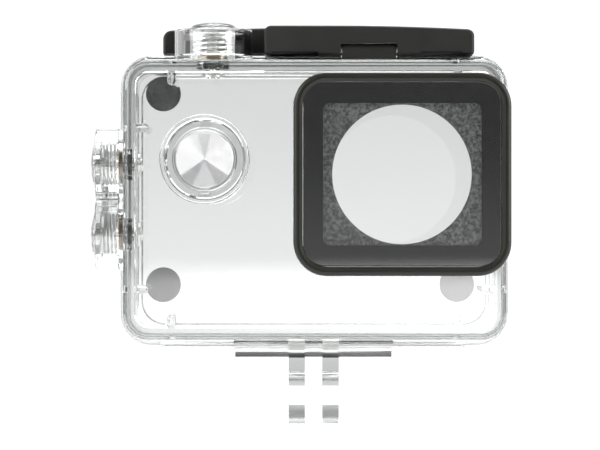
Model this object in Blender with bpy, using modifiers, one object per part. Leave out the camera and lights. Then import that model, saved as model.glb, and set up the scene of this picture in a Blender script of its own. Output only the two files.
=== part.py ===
"""Clear underwater housing for a small action camera, empty and closed.

Frame: millimetre values below are turned into metres when a mesh is made. +X is right seen from the
front, -Y is the front, +Z is up, and the origin is the centre of the two mounting prongs' pivot hole.
"""

from math import cos, pi, radians, sin

import bmesh
import bpy
from mathutils import Matrix, Vector

MM = 0.001
OBJECT_NAME = "dive_housing"
EPS = 0.5            # how far a cutter runs past the face it opens
OVERLAP = 0.3        # how deep joined shapes sink into each other
REST_GAP = 0.3       # gap between pieces that touch in the real housing
SEAL_GAP = 0.05      # gap between a seal and what it presses on
ROUND = 28           # sides of a large round shape
ROUND_SMALL = 16     # sides of a pin, stem or ring

# Case: inner space, walls and rear flange
CASE_X = 0.15
CASE_BOTTOM_Z = 8.4
CAVITY_W, CAVITY_H, CAVITY_R = 65.2, 46.5, 2.6
SIDE_WALL, ROOF_WALL, FRONT_WALL = 2.0, 2.1, 2.2
FRONT_Y, CASE_DEPTH = -13.5, 22.5
FRONT_EDGE_R = 1.2
FLANGE_LIP_X, FLANGE_LIP_Z, FLANGE_DEPTH = 1.35, 1.55, 3.2

# Ribs that hold the camera clear of the walls
RIB_T, RIB_LENGTH = 1.6, 16.3
RIB_H = 2.6
ROOF_RIB_INSET, SIDE_RIB_TOP_INSET, SIDE_RIB_BOTTOM_INSET = 6.8, 10.3, 7.0

# Mounting prongs
PRONG_T, PRONG_GAP, PRONG_R, PRONG_HOLE_R = 2.95, 3.2, 7.5, 2.5
NEARLY_ALL = 0.999   # share of a half width that a full round takes

# Back door, its gasket and pads
DOOR_RIM_T, DOOR_PANEL_RISE = 3.0, 1.6
DOOR_POCKET_DEPTH, DOOR_POCKET_MARGIN_X, DOOR_POCKET_MARGIN_Z = 2.6, 0.3, 0.45
DOOR_PANEL_INSET, DOOR_PANEL_R_DROP = 3.6, 1.5
GROOVE_OFFSET, GROOVE_W, GROOVE_DEPTH = 0.75, 1.3, 1.0
GASKET_SIDE_GAP = 0.1
PAD_R, PAD_T = 3.25, 1.2
PAD_LEFT_INSET, PAD_RIGHT_INSET, PAD_TOP_INSET, PAD_BOTTOM_INSET = 4.4, 5.9, 3.3, 7.5

# Hinge under the door
HINGE_DROP, HINGE_BACK = 1.9, 3.0
KNUCKLE_R, HINGE_PIN_R, PIN_CLEARANCE = 1.8, 0.9, 0.05
CASE_KNUCKLE_HALF, DOOR_KNUCKLE_START, DOOR_KNUCKLE_END = 14.5, 14.85, 28.4
HINGE_PIN_INSET = 0.6

# Latch lever over the roof
LATCH_RIGHT_INSET, LATCH_BUTTON_GAP, LATCH_TAIL_W = 7.1, 2.2, 18.9
LATCH_FRONT_INSET, LATCH_TOP, LATCH_WALL, LATCH_TOP_WALL = 2.3, 6.1, 1.8, 2.0
LATCH_FRONT_WALL, LATCH_BACK_REACH = 2.6, 1.3
LATCH_ROOF_GAP, LATCH_CORNER_R = 0.4, 1.3
LATCH_PIN_RISE, LATCH_PIN_R, LUG_R = 1.7, 0.5, 1.0
LUG_W, LUG_SIDE_GAP = 9.8, 0.2
LUG_CLEARANCE, PIN_TAB = 0.25, 4.2
LATCH_NOSE_CHAMFER = 0.75
LATCH_TAIL_STEP = 0.2
HOOK_RAMP_DEG, HOOK_GAP, HOOK_BITE, RAMP_RUN = 30.0, 0.5, 1.05, 1.9
HOOK_T, HOOK_FLANGE_GAP, HOOK_RAMP_START = 0.9, 1.0, 1.2
RAMP_START_SHARE = 0.6
TAIL_GAP = 1.1

# Lens port
PORT_OVERHANG, PORT_TOP_INSET, PORT_MARGIN, PORT_FRONT_Y = 0.4, 2.7, 0.1, -18.6
BEZEL_W, BEZEL_H, BEZEL_R, BEZEL_T = 38.7, 36.2, 6.0, 2.7
BEZEL_BAND = 1.55
WINDOW_GAP, WINDOW_T, WINDOW_RECESS = 0.15, 1.65, 0.7
WINDOW_R = 3.8
MASK_W, MASK_H, MASK_R, MASK_T, MASK_HOLE_R = 30.9, 28.1, 2.4, 1.2, 12.45
MASK_SEAT_DEPTH, MASK_LEDGE = 1.6, 0.9
SEAL_BAND, SEAL_T, SEAL_INSET = 1.3, 0.55, 0.4
MASK_HOLE_SIDES = 40

# Push buttons: everything here is shared by all four
STEM_R, STEM_CLEARANCE = 1.2, 0.05
WEB_T, ORING_WIRE_R, GLAND_SIDE_GAP = 0.45, 0.85, 0.05
WASHER_T, WASHER_GAP = 0.65, 0.1
CLIP_R, CLIP_T, CLIP_GAP, CLIP_GROOVE = 2.2, 0.5, 0.35, 0.35
CLIP_RECESS_R = 2.7
STEM_TIP = 0.45
SPRING_WIRE_R, SPRING_R, SPRING_TURNS, SPRING_STEPS = 0.25, 3.55, 3, 12
CAP_CLEARANCE = 0.25
CAP_FLANGE_T, CAP_CROWN, CAP_NECK, CAP_ROOF_T, CAP_POST_DROP = 1.3, 1.1, 1.1, 1.0, 0.6
STEM_SOCKET = 0.8
SOCKET_WALL, SKIRT_GAP = 0.8, 0.35
WIRE_SIDES = 8

# Each button: place along its wall, guard and cap sizes
TOP_BUTTON_X_INSET, TOP_BUTTON_Y = 14.15, -3.0
SIDE_BUTTON_Y, SIDE_BUTTON_TOP_INSET, SIDE_BUTTON_PITCH = -3.0, 16.8, 12.7
SHUTTER_X_INSET, SHUTTER_Z_INSET = 12.95, 16.1
TOP_GUARD_WALL, TOP_POCKET_R, TOP_GUARD_Z, TOP_APEX_Z, TOP_DOME_R = 1.4, 5.7, 7.9, 9.2, 4.5
SIDE_GUARD_WALL, SIDE_POCKET_R, SIDE_GUARD_Z, SIDE_APEX_Z, SIDE_DOME_R = 1.3, 5.3, 7.4, 8.4, 4.2
SHUTTER_GUARD_WALL, SHUTTER_POCKET_R, SHUTTER_GUARD_Z, SHUTTER_TOP_Z = 0.95, 7.1, 8.4, 8.0
SHUTTER_RECESS, SHUTTER_NECK_R, SHUTTER_DISC_R, SHUTTER_DISC_T = 1.1, 5.8, 5.15, 0.6
SHUTTER_KEY_W, SHUTTER_KEY_GAP = 2.0, 0.1
SHUTTER_FLANGE_DROP, SHUTTER_FLANGE_T, SHUTTER_ROOF_T = 1.8, 0.7, 0.6
SHUTTER_DISC_GAP = 0.1

# Worked out from the sizes above
BODY_W, BODY_H = CAVITY_W + 2 * SIDE_WALL, CAVITY_H + 2 * ROOF_WALL
BODY_R = CAVITY_R + SIDE_WALL
CASE_Z = CASE_BOTTOM_Z + BODY_H / 2
ROOF_Z = CASE_BOTTOM_Z + BODY_H
REAR_Y = FRONT_Y + CASE_DEPTH
FLANGE_W, FLANGE_H = BODY_W + 2 * FLANGE_LIP_X, BODY_H + 2 * FLANGE_LIP_Z
FLANGE_R = BODY_R + FLANGE_LIP_X
FLANGE_TOP_Z, FLANGE_BOTTOM_Z = CASE_Z + FLANGE_H / 2, CASE_Z - FLANGE_H / 2
LEFT_X, RIGHT_X = CASE_X - BODY_W / 2, CASE_X + BODY_W / 2
FLANGE_LEFT_X = LEFT_X - FLANGE_LIP_X
CAVITY_TOP_Z, CAVITY_BOTTOM_Z = ROOF_Z - ROOF_WALL, CASE_BOTTOM_Z + ROOF_WALL
INNER_LEFT_X, INNER_RIGHT_X = LEFT_X + SIDE_WALL, RIGHT_X - SIDE_WALL
INNER_FRONT_Y = FRONT_Y + FRONT_WALL
DOOR_Y = REAR_Y + REST_GAP
DOOR_BACK_Y = DOOR_Y + DOOR_RIM_T
POCKET_W, POCKET_H = CAVITY_W + 2 * DOOR_POCKET_MARGIN_X, CAVITY_H + 2 * DOOR_POCKET_MARGIN_Z
HINGE_Y, HINGE_Z = REAR_Y + HINGE_BACK, CASE_BOTTOM_Z - HINGE_DROP
PORT_W, PORT_H, PORT_R = BEZEL_W + 2 * PORT_MARGIN, BEZEL_H + 2 * PORT_MARGIN, BEZEL_R + PORT_MARGIN
PORT_X = RIGHT_X + PORT_OVERHANG - PORT_W / 2
PORT_Z = ROOF_Z - PORT_TOP_INSET - PORT_H / 2
TOP_BUTTON_X = INNER_LEFT_X + TOP_BUTTON_X_INSET
TOP_GUARD_R, SIDE_GUARD_R = TOP_POCKET_R + TOP_GUARD_WALL, SIDE_POCKET_R + SIDE_GUARD_WALL
SHUTTER_GUARD_R = SHUTTER_POCKET_R + SHUTTER_GUARD_WALL
LATCH_X1 = RIGHT_X + FLANGE_LIP_X - LATCH_RIGHT_INSET
LATCH_X0 = TOP_BUTTON_X + TOP_GUARD_R + LATCH_BUTTON_GAP
LATCH_TAIL_X0 = LATCH_X0 - LATCH_TAIL_W
LATCH_Y0, LATCH_Y1 = FRONT_Y + LATCH_FRONT_INSET, DOOR_BACK_Y + LATCH_BACK_REACH
LATCH_TOP_Z = ROOF_Z + LATCH_TOP
LATCH_PIN_Y, LATCH_PIN_Z = LATCH_Y0 + LATCH_FRONT_WALL / 2, ROOF_Z + LATCH_PIN_RISE
LATCH_MID_X = (LATCH_X0 + LATCH_X1) / 2
TAIL_Y0 = TOP_BUTTON_Y + TOP_GUARD_R + TAIL_GAP
SHUTTER_X, SHUTTER_Z = INNER_LEFT_X + SHUTTER_X_INSET, CAVITY_TOP_Z - SHUTTER_Z_INSET
SIDE_BUTTON_UP_Z = CAVITY_TOP_Z - SIDE_BUTTON_TOP_INSET


# ---------------------------------------------------------------- scene and mesh helpers

def clear_scene():
    """Remove every object and collection left in the file."""
    for obj in list(bpy.data.objects):
        bpy.data.objects.remove(obj, do_unlink=True)
    for group in list(bpy.data.collections):
        bpy.data.collections.remove(group)


def new_collection(name):
    group = bpy.data.collections.new(name)
    bpy.context.scene.collection.children.link(group)
    return group


def material(name, colour, roughness, metallic=0.0, transmission=0.0):
    """A Principled material; clear plastics pass light."""
    mat = bpy.data.materials.new(name)
    mat.use_nodes = True
    shader = mat.node_tree.nodes["Principled BSDF"]
    shader.inputs["Base Color"].default_value = (*colour, 1.0)
    shader.inputs["Roughness"].default_value = roughness
    shader.inputs["Metallic"].default_value = metallic
    shader.inputs["Transmission Weight"].default_value = transmission
    shader.inputs["IOR"].default_value = 1.585 if transmission else 1.5
    mat.diffuse_color = (*colour, 1.0)
    return mat


def link_mesh(name, bm, group, mat=None, matrix=None):
    """Turn a bmesh in millimetres into an object in metres, placed by matrix (also millimetres)."""
    bmesh.ops.recalc_face_normals(bm, faces=bm.faces)
    bmesh.ops.scale(bm, vec=(MM, MM, MM), verts=bm.verts)
    mesh = bpy.data.meshes.new(name)
    bm.to_mesh(mesh)
    bm.free()
    return place(name, mesh, group, mat, matrix)


def place(name, data, group, mat=None, matrix=None):
    """Link data as an object; its matrix is in millimetres."""
    obj = bpy.data.objects.new(name, data)
    group.objects.link(obj)
    if mat is not None:
        data.materials.append(mat)
    if matrix is not None:
        obj.matrix_world = Matrix.Translation(matrix.to_translation() * MM) @ matrix.to_3x3().to_4x4()
    if group is GUIDES:
        obj.hide_render = True
        obj.display_type = "WIRE"
    elif isinstance(data, bpy.types.Mesh):
        data.shade_smooth()
        data.set_sharp_from_angle(angle=radians(35))
    return obj


def at(x, y, z):
    return Matrix.Translation((x, y, z))


def block_mesh(low, high, radius=0.0, axis=1, segments=5, front_radius=0.0):
    """A box between two corners, its four edges along one axis rounded, and its front face too."""
    low, high = Vector(low), Vector(high)
    bm = bmesh.new()
    bmesh.ops.create_cube(bm, size=1.0)
    bmesh.ops.scale(bm, vec=high - low, verts=bm.verts)
    bmesh.ops.translate(bm, vec=(low + high) / 2, verts=bm.verts)
    if radius:
        along = [e for e in bm.edges if is_along(e, axis)]
        bmesh.ops.bevel(bm, geom=along, offset=radius, segments=segments, profile=0.5,
                        affect="EDGES", material=-1)
    if front_radius:
        front = [e for e in bm.edges if all(abs(v.co.y - low.y) < 1e-4 for v in e.verts)]
        bmesh.ops.bevel(bm, geom=front, offset=front_radius, segments=3, profile=0.5,
                        affect="EDGES", material=-1)
    return bm


def is_along(edge, axis):
    """Whether an edge runs along one axis only."""
    step = edge.verts[1].co - edge.verts[0].co
    return abs(step[axis]) > 1e-6 and abs(step[(axis + 1) % 3]) + abs(step[(axis + 2) % 3]) < 1e-6


def block(name, low, high, group, mat=None, origin=(0, 0, 0), **shape):
    """A box between two corners, as an object whose origin is where it is asked to be."""
    bm = block_mesh(low, high, **shape)
    bmesh.ops.translate(bm, vec=-Vector(origin), verts=bm.verts)
    return link_mesh(name, bm, group, mat, at(*origin))


def plate(name, width, height, radius, y0, y1, group, mat=None, centre=None, **shape):
    """A rounded rectangle standing across Y, centred on the case unless told otherwise."""
    x, z = centre or (CASE_X, CASE_Z)
    low, high = (x - width / 2, y0, z - height / 2), (x + width / 2, y1, z + height / 2)
    return block(name, low, high, group, mat, radius=radius, axis=1, **shape)


def cylinder(name, radius, low, high, group, mat=None, matrix=None, sides=ROUND):
    """A round block about local Z."""
    bm = bmesh.new()
    bmesh.ops.create_cone(bm, cap_ends=True, segments=sides, radius1=radius, radius2=radius, depth=high - low)
    bmesh.ops.translate(bm, vec=(0, 0, (low + high) / 2), verts=bm.verts)
    return link_mesh(name, bm, group, mat, matrix)


def rod(name, x0, x1, y, z, radius, group, mat=None, sides=ROUND_SMALL):
    """A round bar along X whose object origin is on its own axis."""
    bm = bmesh.new()
    bmesh.ops.create_cone(bm, cap_ends=True, segments=sides, radius1=radius, radius2=radius, depth=x1 - x0)
    bmesh.ops.rotate(bm, matrix=Matrix.Rotation(pi / 2, 3, "Y"), verts=bm.verts)
    bmesh.ops.translate(bm, vec=((x0 + x1) / 2, 0, 0), verts=bm.verts)
    return link_mesh(name, bm, group, mat, at(0, y, z))


def turned(name, profile, group, mat=None, matrix=None, sides=ROUND_SMALL):
    """A profile of (radius, height) points, run from the top down the outer side, turned about Z."""
    bm = bmesh.new()
    verts = [bm.verts.new((r * MM, 0, z * MM)) for r, z in profile]
    closed = profile[0][0] > 0 and profile[-1][0] > 0
    for first, second in zip(verts, verts[1:] + verts[:1] if closed else verts[1:]):
        bm.edges.new((first, second))
    mesh = bpy.data.meshes.new(name)
    bm.to_mesh(mesh)
    bm.free()
    obj = place(name, mesh, group, mat, matrix)
    screw = obj.modifiers.new("Turn", "SCREW")
    screw.axis = "Z"
    screw.angle = 2 * pi
    screw.steps = screw.render_steps = sides
    screw.use_merge_vertices = True
    screw.merge_threshold = 0.000001
    screw.use_smooth_shade = True
    return obj


def combine(target, operation, tool):
    """Join a guide shape to the target, or cut it away."""
    step = target.modifiers.new(tool.name, "BOOLEAN")
    step.operation = operation
    step.solver = "EXACT"
    step.object = tool


def join(target, *tools):
    for tool in tools:
        combine(target, "UNION", tool)


def cut(target, *tools):
    for tool in tools:
        combine(target, "DIFFERENCE", tool)


# ---------------------------------------------------------------- push buttons

class Button:
    """One push button. Its local Z points out of the wall, and z = 0 is the wall's inner face."""

    def __init__(self, name, point, outward, guard_r, pocket_r, guard_z, recess=0.0):
        self.name = name
        self.guard_r, self.pocket_r = guard_r, pocket_r
        self.guard_z, self.recess = guard_z, recess
        self.matrix = Matrix.Translation(point) @ outward.to_track_quat("Z", "Y").to_matrix().to_4x4()
        self.web_top = recess + WEB_T
        self.gland_r = STEM_R + STEM_CLEARANCE + 2 * ORING_WIRE_R + GLAND_SIDE_GAP
        self.oring_z = self.web_top + SEAL_GAP + ORING_WIRE_R
        self.washer_z = self.oring_z + ORING_WIRE_R + WASHER_GAP
        self.floor_z = self.washer_z + WASHER_T + SEAL_GAP
        self.bore_r = STEM_R + STEM_CLEARANCE

    def guard(self):
        """The round wall around the cap, sunk into the case wall."""
        return cylinder(self.name + "_guard", self.guard_r, OVERLAP, self.guard_z, GUIDES, matrix=self.matrix)

    def passage(self):
        """Everything that is hollow: cap pocket, seal gland, stem bore and clip recess."""
        out = self.guard_z + EPS
        profile = [(0, out), (self.pocket_r, out), (self.pocket_r, self.floor_z), (self.gland_r, self.floor_z),
                   (self.gland_r, self.web_top), (self.bore_r, self.web_top)]
        if self.recess:
            profile += [(self.bore_r, self.recess), (CLIP_RECESS_R, self.recess), (CLIP_RECESS_R, -EPS)]
        else:
            profile += [(self.bore_r, -EPS)]
        return turned(self.name + "_passage", profile + [(0, -EPS)], GUIDES, matrix=self.matrix, sides=ROUND)

    def stem(self, top_z, mats):
        """The steel stem, necked where its clip sits."""
        clip_top = self.recess - CLIP_GAP
        clip_low = clip_top - CLIP_T
        neck_r = STEM_R - CLIP_GROOVE
        turned(self.name + "_stem", [
            (0, top_z), (STEM_R, top_z), (STEM_R, clip_top + SEAL_GAP), (neck_r, clip_top + SEAL_GAP),
            (neck_r, clip_low - SEAL_GAP), (STEM_R, clip_low - SEAL_GAP), (STEM_R, clip_low - STEM_TIP),
            (0, clip_low - STEM_TIP)], PARTS, mats["steel"], self.matrix)
        hole_r = neck_r + SEAL_GAP
        ring(self.name + "_clip", hole_r, CLIP_R, clip_low, clip_top, mats["steel"], self.matrix)

    def seal(self, mats):
        """The O-ring on the stem, and the washer that keeps it in its gland."""
        centre_r = self.bore_r + ORING_WIRE_R
        wire_r = ORING_WIRE_R
        turns = [2 * pi * i / WIRE_SIDES for i in range(WIRE_SIDES)]
        section = [(centre_r + wire_r * sin(turn), self.oring_z + wire_r * cos(turn)) for turn in turns]
        turned(self.name + "_oring", section, PARTS, mats["rubber"], self.matrix, ROUND_SMALL)
        ring(self.name + "_washer", STEM_R + 2 * STEM_CLEARANCE, self.gland_r - GLAND_SIDE_GAP, self.washer_z,
             self.washer_z + WASHER_T, mats["brass"], self.matrix)

    def spring(self, top_z, mats):
        """A compression spring from the pocket floor to the cap."""
        low = self.floor_z + SPRING_WIRE_R + SEAL_GAP
        rise = top_z - SPRING_WIRE_R - SEAL_GAP - low
        steps = SPRING_TURNS * SPRING_STEPS
        curve = bpy.data.curves.new(self.name + "_spring", "CURVE")
        curve.dimensions = "3D"
        curve.bevel_depth = SPRING_WIRE_R * MM
        curve.bevel_resolution = 2
        curve.use_fill_caps = True
        line = curve.splines.new("POLY")
        line.points.add(steps)
        for i, point in enumerate(line.points):
            turn = 2 * pi * i / SPRING_STEPS
            height = low + rise * i / steps
            point.co = (SPRING_R * cos(turn) * MM, SPRING_R * sin(turn) * MM, height * MM, 1.0)
        place(self.name + "_spring", curve, PARTS, mats["steel"], self.matrix)

    def dome_cap(self, apex_z, dome_r, mats):
        """A domed cap with a flange under the guard's rim, hollow below for the spring."""
        flange_r = self.pocket_r - CAP_CLEARANCE
        edge_z = apex_z - CAP_CROWN
        flange_top = edge_z - CAP_NECK
        flange_low = flange_top - CAP_FLANGE_T
        roof_z = edge_z - CAP_ROOF_T
        post_z = roof_z - CAP_POST_DROP
        post_r = STEM_R + SEAL_GAP + SOCKET_WALL
        socket_r, socket_z = STEM_R + SEAL_GAP, roof_z + STEM_SOCKET
        skirt_r = SPRING_R + SPRING_WIRE_R + SKIRT_GAP
        dome = arc_over(dome_r, CAP_CROWN, edge_z, 5)
        turned(self.name + "_cap", dome + [
            (dome_r, flange_top), (flange_r, flange_top), (flange_r, flange_low), (skirt_r, flange_low),
            (skirt_r, roof_z), (post_r, roof_z), (post_r, post_z), (socket_r, post_z), (socket_r, socket_z),
            (0, socket_z)], PARTS, mats["cap"], self.matrix, ROUND)
        self.stem(socket_z - SEAL_GAP, mats)
        self.spring(roof_z, mats)
        self.seal(mats)

    def disc_cap(self, top_z, mats):
        """A flat clear cap with two keys at its edge and a turned metal disc let into its face."""
        flange_r = self.pocket_r - CAP_CLEARANCE
        flange_top = top_z - SHUTTER_FLANGE_DROP
        flange_low = flange_top - SHUTTER_FLANGE_T
        disc_z = top_z - SHUTTER_DISC_T - SHUTTER_DISC_GAP
        roof_z = disc_z - SHUTTER_ROOF_T
        socket_r = STEM_R + SEAL_GAP
        post_r = socket_r + SOCKET_WALL
        post_z = roof_z - CAP_POST_DROP
        skirt_r = SPRING_R + SPRING_WIRE_R + SKIRT_GAP
        rim_r = SHUTTER_DISC_R + SHUTTER_DISC_GAP
        cap = turned(self.name + "_cap", [
            (0, disc_z), (rim_r, disc_z), (rim_r, top_z), (SHUTTER_NECK_R, top_z),
            (SHUTTER_NECK_R, flange_top), (flange_r, flange_top), (flange_r, flange_low), (skirt_r, flange_low),
            (skirt_r, roof_z), (post_r, roof_z), (post_r, post_z), (socket_r, post_z),
            (socket_r, roof_z + SEAL_GAP), (0, roof_z + SEAL_GAP)], PARTS, mats["cap"], self.matrix, ROUND)
        key_low, key_high = flange_low + SHUTTER_KEY_GAP, top_z - SHUTTER_KEY_GAP
        inner, outer = SHUTTER_NECK_R - OVERLAP, flange_r - SEAL_GAP
        for side, turn in (("upper", 0.0), ("lower", pi)):
            bm = block_mesh((-SHUTTER_KEY_W / 2, inner, key_low), (SHUTTER_KEY_W / 2, outer, key_high))
            key = link_mesh(f"{self.name}_{side}_key", bm, GUIDES, None,
                            self.matrix @ Matrix.Rotation(turn, 4, "Z"))
            join(cap, key)
        cylinder(self.name + "_disc", SHUTTER_DISC_R, disc_z + SEAL_GAP, disc_z + SEAL_GAP + SHUTTER_DISC_T,
                 PARTS, mats["steel"], self.matrix)
        self.stem(roof_z, mats)
        self.spring(roof_z, mats)
        self.seal(mats)


def arc_over(radius, rise, edge_z, steps):
    """Points of a low dome from its apex to its edge."""
    turns = [pi / 2 * i / steps for i in range(steps + 1)]
    return [(radius * sin(turn), edge_z + rise * cos(turn)) for turn in turns]


def ring(name, inner_r, outer_r, low, high, mat, matrix):
    """A flat ring about local Z."""
    profile = [(inner_r, high), (outer_r, high), (outer_r, low), (inner_r, low)]
    return turned(name, profile, PARTS, mat, matrix)


# ---------------------------------------------------------------- case, door, latch, lens

def make_case(buttons, mat):
    """The clear front shell with its flange, port, guards, ribs, lug, prongs and hinge knuckle."""
    case = plate("front_case", BODY_W, BODY_H, BODY_R, FRONT_Y, REAR_Y - OVERLAP, PARTS, mat,
                 front_radius=FRONT_EDGE_R)
    join(case, plate("flange", FLANGE_W, FLANGE_H, FLANGE_R, REAR_Y - FLANGE_DEPTH, REAR_Y, GUIDES))
    join(case, plate("port_block", PORT_W, PORT_H, PORT_R, PORT_FRONT_Y, INNER_FRONT_Y - OVERLAP, GUIDES,
                     centre=(PORT_X, PORT_Z)))
    join(case, *(button.guard() for button in buttons))
    join(case, *latch_lug(), *case_knuckle(), *prongs())
    cut(case, plate("cavity", CAVITY_W, CAVITY_H, CAVITY_R, INNER_FRONT_Y, REAR_Y + EPS, GUIDES))
    cut(case, *port_passage())
    cut(case, *(button.passage() for button in buttons))
    join(case, *camera_ribs())
    prong_reach = PRONG_GAP / 2 + PRONG_T + EPS
    cut(case, rod("prong_hole", -prong_reach, prong_reach, 0, 0, PRONG_HOLE_R, GUIDES, sides=ROUND))
    cut(case, rod("case_pin_bore", -CASE_KNUCKLE_HALF - EPS, CASE_KNUCKLE_HALF + EPS, HINGE_Y, HINGE_Z,
                  HINGE_PIN_R + PIN_CLEARANCE, GUIDES))
    cut(case, rod("lug_pin_bore", LATCH_MID_X - LUG_W / 2 - EPS, LATCH_MID_X + LUG_W / 2 + EPS, LATCH_PIN_Y,
                  LATCH_PIN_Z, LATCH_PIN_R + PIN_CLEARANCE, GUIDES))


def port_passage():
    """The stepped opening through the lens port: a seat for the mask, then the way for the lens."""
    seat_w, seat_h = MASK_W + 2 * WINDOW_GAP, MASK_H + 2 * WINDOW_GAP
    front, centre = PORT_FRONT_Y - EPS, (PORT_X, PORT_Z)
    yield plate("mask_seat", seat_w, seat_h, MASK_R, front, PORT_FRONT_Y + MASK_SEAT_DEPTH, GUIDES, centre=centre)
    yield plate("lens_way", seat_w - 2 * MASK_LEDGE, seat_h - 2 * MASK_LEDGE, MASK_R, front, INNER_FRONT_Y + EPS,
                GUIDES, centre=centre)


def camera_ribs():
    """Two ribs on the roof, two on the floor and two on each side wall."""
    y0, y1 = INNER_FRONT_Y - OVERLAP, INNER_FRONT_Y + RIB_LENGTH
    half = RIB_T / 2
    for side, x in (("left", INNER_LEFT_X + ROOF_RIB_INSET), ("right", INNER_RIGHT_X - ROOF_RIB_INSET)):
        yield block(f"roof_rib_{side}", (x - half, y0, CAVITY_TOP_Z - RIB_H),
                    (x + half, y1, CAVITY_TOP_Z + OVERLAP), GUIDES)
        yield block(f"floor_rib_{side}", (x - half, y0, CAVITY_BOTTOM_Z - OVERLAP),
                    (x + half, y1, CAVITY_BOTTOM_Z + RIB_H), GUIDES)
    for level, z in (("upper", CAVITY_TOP_Z - SIDE_RIB_TOP_INSET),
                     ("lower", CAVITY_BOTTOM_Z + SIDE_RIB_BOTTOM_INSET)):
        yield block(f"left_rib_{level}", (INNER_LEFT_X - OVERLAP, y0, z - half),
                    (INNER_LEFT_X + RIB_H, y1, z + half), GUIDES)
        yield block(f"right_rib_{level}", (INNER_RIGHT_X - RIB_H, y0, z - half),
                    (INNER_RIGHT_X + OVERLAP, y1, z + half), GUIDES)


def prongs():
    """The two mounting prongs, round at their lower end."""
    for side, sign in (("left", -1), ("right", 1)):
        middle = sign * (PRONG_GAP + PRONG_T) / 2
        bm = block_mesh((middle - PRONG_T / 2, -PRONG_R, -PRONG_R),
                        (middle + PRONG_T / 2, PRONG_R, CASE_BOTTOM_Z + OVERLAP))
        low = [e for e in bm.edges if is_along(e, 0) and e.verts[0].co.z < 0]
        bmesh.ops.bevel(bm, geom=low, offset=PRONG_R * NEARLY_ALL, segments=8, profile=0.5,
                        affect="EDGES", material=-1)
        yield link_mesh(f"{side}_prong", bm, GUIDES)


def case_knuckle():
    """The middle hinge knuckle and the arm that carries it behind the flange."""
    half, low = CASE_KNUCKLE_HALF, HINGE_Z - KNUCKLE_R
    yield rod("case_knuckle", -half, half, HINGE_Y, HINGE_Z, KNUCKLE_R, GUIDES)
    front = REAR_Y - FLANGE_DEPTH + OVERLAP
    yield block("knuckle_arm", (-half, front, low), (half, HINGE_Y, HINGE_Z), GUIDES)
    yield block("knuckle_root", (-half, front, HINGE_Z - OVERLAP),
                (half, REAR_Y - SEAL_GAP, FLANGE_BOTTOM_Z + OVERLAP), GUIDES)


def latch_lug():
    """The lug on the roof that the latch lever turns on."""
    half = LUG_W / 2
    yield rod("lug_eye", LATCH_MID_X - half, LATCH_MID_X + half, LATCH_PIN_Y, LATCH_PIN_Z, LUG_R, GUIDES)
    yield block("lug_web", (LATCH_MID_X - half, LATCH_PIN_Y - LUG_R, ROOF_Z - OVERLAP),
                (LATCH_MID_X + half, LATCH_PIN_Y + LUG_R, LATCH_PIN_Z), GUIDES)


def make_door(mat):
    """The back door: a rim with a gasket groove, a shallow pocket, and two hinge knuckles."""
    door = plate("back_door", FLANGE_W, FLANGE_H, FLANGE_R, DOOR_Y, DOOR_BACK_Y, PARTS, mat,
                 origin=(0, HINGE_Y, HINGE_Z))
    panel_w, panel_h = FLANGE_W - 2 * DOOR_PANEL_INSET, FLANGE_H - 2 * DOOR_PANEL_INSET
    join(door, plate("door_panel", panel_w, panel_h, FLANGE_R - DOOR_PANEL_R_DROP, DOOR_BACK_Y - OVERLAP,
                     DOOR_BACK_Y + DOOR_PANEL_RISE, GUIDES))
    for side, x0, x1 in (("left", -DOOR_KNUCKLE_END, -DOOR_KNUCKLE_START),
                         ("right", DOOR_KNUCKLE_START, DOOR_KNUCKLE_END)):
        join(door, rod(f"{side}_knuckle", x0, x1, HINGE_Y, HINGE_Z, KNUCKLE_R, GUIDES))
    front = DOOR_Y - EPS
    cut(door, plate("door_pocket", POCKET_W, POCKET_H, CAVITY_R, front, DOOR_Y + DOOR_POCKET_DEPTH, GUIDES))
    cut(door, pocket_ring("gasket_groove", GROOVE_OFFSET, GROOVE_W, front, DOOR_Y + GROOVE_DEPTH, GUIDES))
    relief, bore = DOOR_KNUCKLE_START, DOOR_KNUCKLE_END + EPS
    cut(door, rod("knuckle_relief", -relief, relief, HINGE_Y, HINGE_Z, KNUCKLE_R + REST_GAP, GUIDES,
                  sides=ROUND))
    cut(door, block("arm_relief", (-relief, front, HINGE_Z - KNUCKLE_R - EPS),
                    (relief, HINGE_Y, HINGE_Z + 2 * REST_GAP), GUIDES))
    cut(door, rod("door_pin_bore", -bore, bore, HINGE_Y, HINGE_Z, HINGE_PIN_R + PIN_CLEARANCE, GUIDES))
    cut(door, ramp_cutter("lip_ramp", 0.0, above=True))


def frame_ring(name, outer, inner, outer_r, inner_r, y0, y1, group, mat, centre, origin=(0, 0, 0)):
    """A flat rounded-rectangle frame: an outer plate with an inner plate cut out of it."""
    frame = plate(name, *outer, outer_r, y0, y1, group, mat, centre=centre, origin=origin)
    cut(frame, plate(name + "_opening", *inner, inner_r, y0 - EPS, y1 + EPS, GUIDES, centre=centre))
    return frame


def pocket_ring(name, offset, width, y0, y1, group, mat=None, origin=(0, 0, 0)):
    """A frame that follows the door pocket's edge, offset outwards."""
    inner_w, inner_h, inner_r = POCKET_W + 2 * offset, POCKET_H + 2 * offset, CAVITY_R + offset
    outer_w, outer_h = inner_w + 2 * width, inner_h + 2 * width
    return frame_ring(name, (outer_w, outer_h), (inner_w, inner_h), inner_r + width, inner_r, y0, y1, group,
                      mat, (CASE_X, CASE_Z), origin)


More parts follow.
